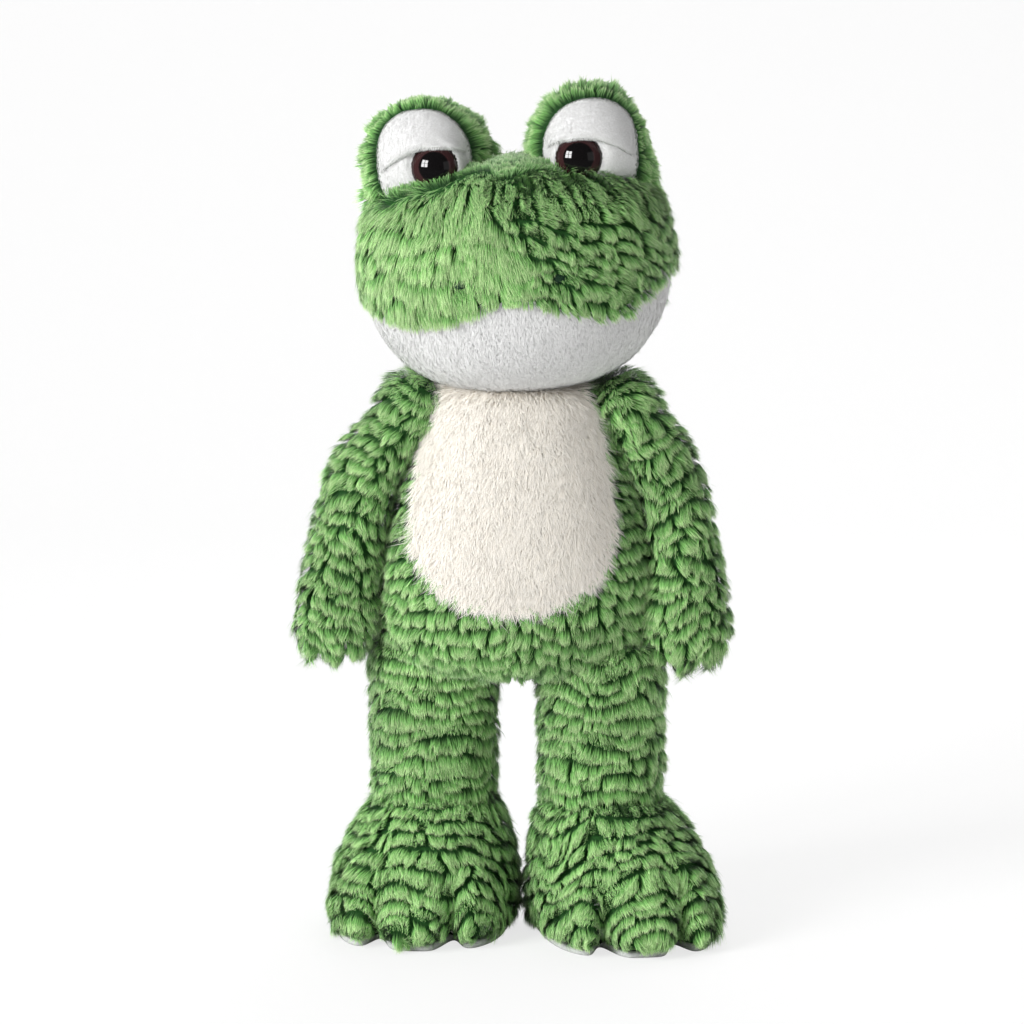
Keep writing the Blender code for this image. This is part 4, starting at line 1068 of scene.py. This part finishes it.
def arm_grid(sign, length, reach, forward, hand, aside, tip):
    """Rings down the sleeve, each moved aside and forwards. A row gives the share of the length, the share
    of the reach, the share of the hand in the ring's size, and a factor on it. A cosine makes the fingers,
    and rings of a ball shut the shoulder."""
    rows = smooth_rows(ARM_ROWS, 6)
    drop, out, swell, size = rows.T
    wide = size * ((1 - swell) * SLEEVE_HALF_WIDTH + swell * hand)
    deep = size * ((1 - swell) * SLEEVE_HALF_DEPTH + swell * HAND_HALF_DEPTH)
    rings = rounded_rings(wide, deep, deep, 2.2, 0 * drop, 56)
    out = out * reach + aside * between(drop, 0.5, 0.8) + tip * between(drop, 0.8, 1.0)
    middle = np.stack([sign * out, -drop * forward, -drop * length], axis=1)
    finger = np.cos(2 * np.pi * rings[:, :, 0] / (0.66 * hand)) * between(drop, 0.84, 0.97)[:, None]
    rings[:, :, 2] -= FINGER * finger
    rings = rings + middle[:, None, :]
    cap = np.radians([14, 30, 46, 62, 78])
    wide = SHOULDER_RADIUS * np.cos(cap)
    top = rounded_rings(wide, wide, wide, 2, SHOULDER_RADIUS * np.sin(cap), 56)
    return np.concatenate([rings[::-1], top]) + SHOULDER * (sign, 1, 1) + FRAME_SHIFT


def down_the_arm(sign, length, reach, forward, **hand):
    def placing(points, normal):
        """Combed along the sleeve's middle line, which leans out fast at first and then hangs."""
        x, y, z = (points - FRAME_SHIFT - SHOULDER * (sign, 1, 1)).T
        drop = np.clip(-z / length, 0, 1)
        out = np.interp(drop, ARM_ROWS[:, 0], ARM_ROWS[:, 1]) * reach * sign
        slope = np.interp(drop, (0, 0.2, 0.5, 0.8, 1), (2.4, 1.3, 0.6, 0.25, 0)) * reach * sign / length
        comb = np.stack([slope, np.full_like(x, -forward / length), -np.ones_like(x)], axis=1)
        around = np.arctan2(y + drop * forward, x - out) * ARC["arm"]
        return comb, -z * 1.08 + 0.25 * sign * (x - out), around

    return placing


def add_arm(side, facts):
    form = stuffed(*facing_out(*closed_form(arm_grid(**facts))))
    arm = side + "_arm"
    add_pad(arm + "_pad", form, green_backing, arm, "green_fur", arm + "_skin")
    add_fur(arm + "_fur", form, down_the_arm(**facts), arm_coat, green_fur, arm, "green_fur",
            81 + facts["sign"])


arm_coat = Coat(tone=0.55, lean=0.55, wave=0.0040, wave_length=0.026, tuft=0.0038, ragged=0.50, fluff=0.65)
for side, facts in ARMS.items():
    add_arm(side, facts)

# %% [markdown]
# ## Legs
#
# A leg is a straight tube. Both
# ends are round, so that it can swing without leaving a gap.

# %% Leg forms
HIP_X, HIP_Y = 0.0352, {"left": -0.0050, "right": 0.0040}
LEG_RADIUS, LEG_HALF_WIDTH, ANKLE_Z, LEG_TOP = 0.0232, 0.0236, 0.0660, 0.1240
LEG_ASIDE = {"left": 0.0, "right": -0.0014}
BEND_FROM, BEND_TO = 0.1130, 0.0860
LEG_FUR_TO = LEG_TOP + 0.0020


def leg_grid(side, sign):
    """A straight tube that goes a little way into the body, shut at the top, with a barrel below for the
    ankle: there the width and depth shrink with the cosine of the way round."""
    low = -np.radians(np.linspace(0, 86, 14))[::-1]
    straight = np.linspace(0.1, 1, 20)
    shut = np.array([1.02, 1.035, 1.04])
    height = np.concatenate([ANKLE_Z + LEG_RADIUS * np.sin(low), ANKLE_Z + straight * (LEG_TOP - ANKLE_Z),
                             ANKLE_Z + shut * (LEG_TOP - ANKLE_Z)])
    flare = 1 + 0.05 * between(straight, 0.5, 1.0)
    wide = np.concatenate([np.cos(low) ** 0.35, flare, flare[-1] * np.array([0.93, 0.75, 0.4])])
    deep = np.concatenate([np.cos(low), flare, flare[-1] * np.array([0.93, 0.75, 0.4])])
    rings = rounded_rings(wide * LEG_HALF_WIDTH, deep * LEG_RADIUS, deep * LEG_RADIUS, 2.5, height, 72)
    return rings + (sign * HIP_X + LEG_ASIDE[side], HIP_Y[side], 0) + FRAME_SHIFT


def down_the_leg(side, sign):
    def placing(points, normal):
        """Combed straight down."""
        x, y, z = (points - FRAME_SHIFT - (sign * HIP_X, HIP_Y[side], 0)).T
        comb = np.stack([np.zeros_like(x), np.zeros_like(x), -np.ones_like(x)], axis=1)
        return comb, -z, np.arctan2(y, x) * ARC["leg"]

    return placing


def out_of_the_body(points):
    """No fur grows on the end of the leg that is inside the body."""
    return points[:, 2] < LEG_FUR_TO


def add_leg(side, sign):
    form = stuffed(*facing_out(*closed_form(leg_grid(side, sign))))
    middle = FRAME_SHIFT + (sign * HIP_X, HIP_Y[side], 0)
    leg = side + "_leg"
    bend = ("torso", leg, tuple(middle + (0, 0, BEND_FROM)), tuple(middle + (0, 0, BEND_TO)))
    add_pad(leg + "_pad", form, green_backing, bend, "green_fur", leg + "_skin")
    add_filling(leg, leg_grid(side, sign), bend)
    add_fur(leg + "_fur", form, down_the_leg(side, sign), leg_coat, green_fur, bend, "green_fur",
            91 + sign, out_of_the_body)


leg_coat = Coat(
    pitch=0.0064, overlap=0.30, lift=0.0044, tuft=0.0048, ragged=0.44, lean=0.30, clump=0.1,
    wave_length=0.026, holes=0.14, tone=0.56,
)
for side, sign in SIDES:
    add_leg(side, sign)

# %% [markdown]
# ## Feet
#
# The feet are large wedges with three toes, so that the frog can stand. The upper is green fur, and the
# sole is a flat piece of pale grey pile whose edge shows at the toes.

# %% Foot forms
FEET = {
    "left": dict(sign=1, front_length=0.0660, outward=0.0085, toe_out=9.0),
    "right": dict(sign=-1, front_length=0.0620, outward=0.0050, toe_out=5.0),
}
FOOT_HEIGHT, FOOT_HALF_WIDTH, FOOT_BACK = 0.0580, 0.0380, 0.0285
NOTCH_AT, NOTCH_WIDTH, NOTCH_DEPTH, NOTCH_FADE = 0.43, 0.13, 0.0215, 2.2
SOLE_STEPS, SOLE_EDGE, SOLE_THICKNESS = 12, 0.0010, 0.0030
FUR_FROM, FUR_TO = 0.0050, 0.98 * FOOT_HEIGHT
FOOT_ROWS = np.array([
    (0.058, 0.955, 0.925, 0.92, 1.00), (0.170, 1.000, 0.995, 0.98, 1.00), (0.330, 0.995, 0.930, 1.00, 0.95),
    (0.520, 0.945, 0.780, 1.00, 0.80), (0.700, 0.850, 0.620, 0.95, 0.55), (0.870, 0.725, 0.460, 0.88, 0.25),
    (1.000, 0.620, 0.360, 0.80, 0.00),
])


def toe_notch(across):
    """A bell curve over each of the two gaps between the toes, at a share of the half width."""
    return np.exp(-(((np.abs(across) - NOTCH_AT) / NOTCH_WIDTH) ** 2))


def turned_out(x, y, z, degrees):
    """Points turned about Z, so that the toes look outwards."""
    a = math.radians(degrees)
    return np.stack([x * math.cos(a) - y * math.sin(a), x * math.sin(a) + y * math.cos(a), z], axis=2)


def foot_grid(sign, front_length, outward, toe_out, rows):
    """Each level is round behind. In front it is a soft arch with two notches, shaped by a bell curve,
    that leave three toes and fade out up the foot. The foot is turned out about the ankle."""
    height, width, front, back, shift = (column[:, None] for column in rows.T)
    half = width * FOOT_HALF_WIDTH
    exponent = 3.0 - 0.7 * height
    angle = np.linspace(0, math.pi, 40, endpoint=False)
    behind_x, behind_y = half * np.cos(angle), back * FOOT_BACK * np.sin(angle) ** (2 / exponent)
    across = -np.cos(np.linspace(0, math.pi, 72, endpoint=False))
    ahead_y = -front * front_length * (1 - np.abs(across) ** exponent) ** (1 / exponent)
    ahead_y = ahead_y + NOTCH_DEPTH * np.maximum(1 - height, 0) ** NOTCH_FADE * toe_notch(across)
    x = np.concatenate([behind_x, half * across], axis=1) + sign * shift * outward
    y = np.concatenate([behind_y, ahead_y], axis=1)
    return turned_out(x, y, np.broadcast_to(height * FOOT_HEIGHT, x.shape), sign * toe_out)


def sole_grid(sign, front_length, outward, toe_out):
    """Rings about X, so that the sole follows each toe. A ring runs under the foot from heel to toe and
    back over it, and its two ends are rounded. Beside the toes the front is cut by the same notches."""
    height, width, front, back, shift = FOOT_ROWS[0]
    exponent = 3.0 - 0.7 * height
    across = -np.cos(np.linspace(0.05, math.pi - 0.05, 110))[:, None]
    heel = back * FOOT_BACK * (1 - across**2) ** (1 / exponent)
    toe = -front * front_length * (1 - np.abs(across) ** exponent) ** (1 / exponent)
    toe = toe + NOTCH_DEPTH * (1 - height) ** NOTCH_FADE * toe_notch(across)
    along = np.linspace(0, 1, SOLE_STEPS)
    edge, rise = np.full(SOLE_STEPS, SOLE_EDGE), [0.0010, 0.0022]
    share = np.concatenate([along, [1, 1], along[::-1], [0, 0]])[None, :]
    inset = np.concatenate([edge, [0, 0], edge, [0, 0]])[None, :] * (1 - 2 * share)
    top = np.full(SOLE_STEPS, SOLE_THICKNESS)
    z = np.concatenate([np.zeros(SOLE_STEPS), rise, top, rise[::-1]])[None, :]
    x = width * FOOT_HALF_WIDTH * across + sign * shift * outward + 0 * share
    y = heel + (toe - heel) * share - inset
    return turned_out(x, y, z + 0 * x, sign * toe_out)


def foot_place(side, sign):
    """The point on the floor under the ankle."""
    return np.array([sign * HIP_X, HIP_Y[side], 0]) + FRAME_SHIFT


def from_the_ankle(side, sign):
    def placing(points, normal):
        """Combed outwards and down from the ankle, forwards on top."""
        x, y, z = (points - foot_place(side, sign)).T
        far = np.hypot(x, y) + 1e-6
        comb = np.stack([0.55 * x / far, 0.75 * y / far - 0.35, -np.full_like(x, 0.85)], axis=1)
        down = np.hypot(far, FOOT_HEIGHT - z)
        return comb, down, np.arctan2(y, x) * ARC["foot"]

    return placing


def off_the_floor(side, sign, outward, toe_out):
    def shorter(points):
        """Short fur just over the sole, so that no hair goes under the floor, and between the toes."""
        x, y, z = (points - foot_place(side, sign)).T
        a = math.radians(sign * toe_out)
        across = np.abs(x * math.cos(a) + y * math.sin(a) - sign * outward) / FOOT_HALF_WIDTH
        notch = toe_notch(across) * np.clip(1 - 1.6 * z / FOOT_HEIGHT, 0, 1)
        return np.clip(0.25 + z / 0.012, 0.3, 1.0) * (1 - 0.35 * notch * between(-y, 0.02, 0.04))

    return shorter


def over_the_sole(points):
    """The fur starts just over the sole and ends where the leg covers the ankle."""
    return (points[:, 2] > FUR_FROM) & (points[:, 2] < FUR_TO)


def add_foot(side, facts):
    sign, foot = facts["sign"], side + "_foot"
    rows = smooth_rows(FOOT_ROWS, 6)
    top = rows[-1:] * (1, 0.5, 0.5, 0.5, 1)
    grid = foot_grid(**facts, rows=np.concatenate([rows, top])) + foot_place(side, sign)
    form = stuffed(*facing_out(*closed_form(grid)))
    add_pad(foot + "_pad", form, green_backing, foot, "green_fur", foot + "_upper")
    add_filling(foot, grid, foot)
    add_fur(foot + "_fur", form, from_the_ankle(side, sign), foot_coat, green_fur, foot, "green_fur",
            101 + sign, over_the_sole, off_the_floor(side, sign, facts["outward"], facts["toe_out"]))
    sole = facing_out(*closed_form(sole_grid(**facts) + foot_place(side, sign)))
    piece = add_piece(side + "_sole", *sole, sole_backing, foot, "sole_pile")
    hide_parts(side + "_sole_panel")


foot_coat = Coat(tone=0.78, pitch=0.0066, tuft=0.0040)
for side, facts in FEET.items():
    add_foot(side, facts)

# %% [markdown]
# ## Stitched nostrils and what is hidden inside
#
# Two small ovals of dark thread mark the nose, and pull the fur into a dimple. They, the eyes' washers and
# the stuffing of arms and eyes stay as the model has them, with finishes of their own.

# %% Thread, stuffing and washers
thread = cloth_material("nostril_thread", (14, 34, 22), (30, 62, 40), 1600, rough=0.6, depth=0.8)
washer_plastic = cloth_material("washer_plastic", (224, 224, 220), (234, 234, 230), 300, rough=0.4)


def finish_node(name, material):
    """Gives a node of the model its finish."""
    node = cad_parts[name]
    node.data.materials.clear()
    node.data.materials.append(material)


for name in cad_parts:
    if name.endswith("stuffing"):
        finish_node(name, fibre)
    elif name.endswith("washer"):
        finish_node(name, washer_plastic)
    elif name.endswith("nostril"):
        finish_node(name, thread)

# %% [markdown]
# ## Studio
#
# A pale floor that sweeps up behind, a window of four soft lamps high on the left, and weaker lamps on the
# right and behind. The camera looks slightly down from far away, with a long lens, as for a catalogue.

# %% Floor and backdrop
SWEEP_FRONT, SWEEP_FLAT, SWEEP_BEND, SWEEP_TOP, SWEEP_HALF_WIDTH = 3.0, 1.2, 0.8, 4.0, 4.0


def add_sweep():
    """A floor that bends up into a wall: flat, then a quarter circle, then straight up."""
    bend = np.radians(np.linspace(0, 90, 20))
    flat = [(-SWEEP_FRONT, 0.0), (SWEEP_FLAT, 0.0)]
    curve = np.stack([SWEEP_FLAT + SWEEP_BEND * np.sin(bend), SWEEP_BEND - SWEEP_BEND * np.cos(bend)], axis=1)
    profile = np.vstack([flat, curve[1:], [(SWEEP_FLAT + SWEEP_BEND, SWEEP_TOP)]])
    x = np.array([-SWEEP_HALF_WIDTH, SWEEP_HALF_WIDTH])
    grid = np.stack(np.broadcast_arrays(x, profile[:, :1], profile[:, 1:]), axis=2)
    form = turned_to(open_form(grid, False), (0, -1, 1))
    sweep = add_piece("sweep", *form, sweep_paper, None, None)


def paper_material():
    """White paper that glows a little to the camera, and that a glossy eye mirrors only dimly."""
    material, nodes, links = new_material("sweep_paper")
    shader = nodes["Principled BSDF"]
    shader.inputs["Base Color"].default_value = (0.92, 0.92, 0.92, 1)
    shader.inputs["Roughness"].default_value = 0.9
    glow = nodes.new("ShaderNodeEmission")
    glow.inputs["Color"].default_value = (1, 1, 1, 1)
    glow.inputs["Strength"].default_value = 1.0
    path = nodes.new("ShaderNodeLightPath")
    share = nodes.new("ShaderNodeMath")
    share.operation = "MULTIPLY"
    share.inputs[1].default_value = 0.75
    links.new(path.outputs["Is Camera Ray"], share.inputs[0])
    mix = nodes.new("ShaderNodeMixShader")
    links.new(share.outputs[0], mix.inputs[0])
    links.new(shader.outputs[0], mix.inputs[1])
    links.new(glow.outputs[0], mix.inputs[2])
    dim = nodes.new("ShaderNodeEmission")
    dim.inputs["Strength"].default_value = 0.12
    mirrored = nodes.new("ShaderNodeMixShader")
    links.new(path.outputs["Is Glossy Ray"], mirrored.inputs[0])
    links.new(mix.outputs[0], mirrored.inputs[1])
    links.new(dim.outputs[0], mirrored.inputs[2])
    links.new(mirrored.outputs[0], nodes["Material Output"].inputs["Surface"])
    return material


sweep_paper = paper_material()
add_sweep()

# %% Light


def add_lamp(name, place, aim, size, watts):
    """A soft rectangular lamp at a place, aimed at a point."""
    data = bpy.data.lights.new(name, "AREA")
    data.shape, data.size, data.size_y = "RECTANGLE", size[0], size[1]
    data.energy = watts
    lamp = bpy.data.objects.new(name, data)
    bpy.context.scene.collection.objects.link(lamp)
    lamp.location = place
    lamp.rotation_euler = (Vector(aim) - Vector(place)).to_track_quat("-Z", "Y").to_euler()


for column in (-1, 1):
    for level in (-1, 1):
        pane = (-1.40 + 0.17 * column, -1.25 - 0.17 * column, 0.92 + 0.24 * level)
        add_lamp(f"window_{column}_{level}", pane, (0, 0, 0.20), (0.40, 0.42), 11.5)
add_lamp("fill", (1.6, -1.4, 0.7), (0, 0, 0.20), (1.2, 1.2), 1.5)
add_lamp("back", (0.3, 1.2, 1.3), (0, 0, 0.22), (1.0, 0.6), 9)
add_lamp("side", (1.9, 0.9, 0.9), (0, 0, 0.20), (1.0, 1.0), 6)
world = bpy.data.worlds.new("studio")
world.use_nodes = True
sky = world.node_tree.nodes["Background"]
sky.inputs["Color"].default_value = (1, 1, 1, 1)
path = world.node_tree.nodes.new("ShaderNodeLightPath")
strength = world.node_tree.nodes.new("ShaderNodeMapRange")
strength.inputs["To Min"].default_value = 0.46
strength.inputs["To Max"].default_value = 0.08
seen = world.node_tree.nodes.new("ShaderNodeMath")
seen.operation = "MAXIMUM"
for start, end in (
    (path.outputs["Is Glossy Ray"], strength.inputs["Value"]),
    (strength.outputs["Result"], seen.inputs[0]),
    (path.outputs["Is Camera Ray"], seen.inputs[1]),
    (seen.outputs[0], sky.inputs["Strength"]),
):
    world.node_tree.links.new(start, end)
bpy.context.scene.world = world
bpy.context.scene.view_settings.view_transform = "Standard"

# %% Camera
MM_PER_PIXEL = 0.426
PICTURE_PIXELS = 1024
SENSOR_MM = 36
DISTANCE = 1.8
ELEVATION = math.radians(8)


def add_camera():
    """Far away on a line that comes down at eight degrees. The lens makes one pixel 0.426 mm at the frog."""
    data = bpy.data.cameras.new("camera")
    data.sensor_width = SENSOR_MM
    data.lens = SENSOR_MM * DISTANCE / (MM_PER_PIXEL * PICTURE_PIXELS / 1000)
    aim = Vector((-0.0017, 0.0, 0.1807))
    away = Vector((0, -math.cos(ELEVATION), math.sin(ELEVATION)))
    camera = bpy.data.objects.new("camera", data)
    bpy.context.scene.collection.objects.link(camera)
    camera.location = aim + DISTANCE * away
    camera.rotation_euler = (-away).to_track_quat("-Z", "Y").to_euler()
    bpy.context.scene.camera = camera
    print("lens", round(data.lens, 1), "mm")


add_camera()
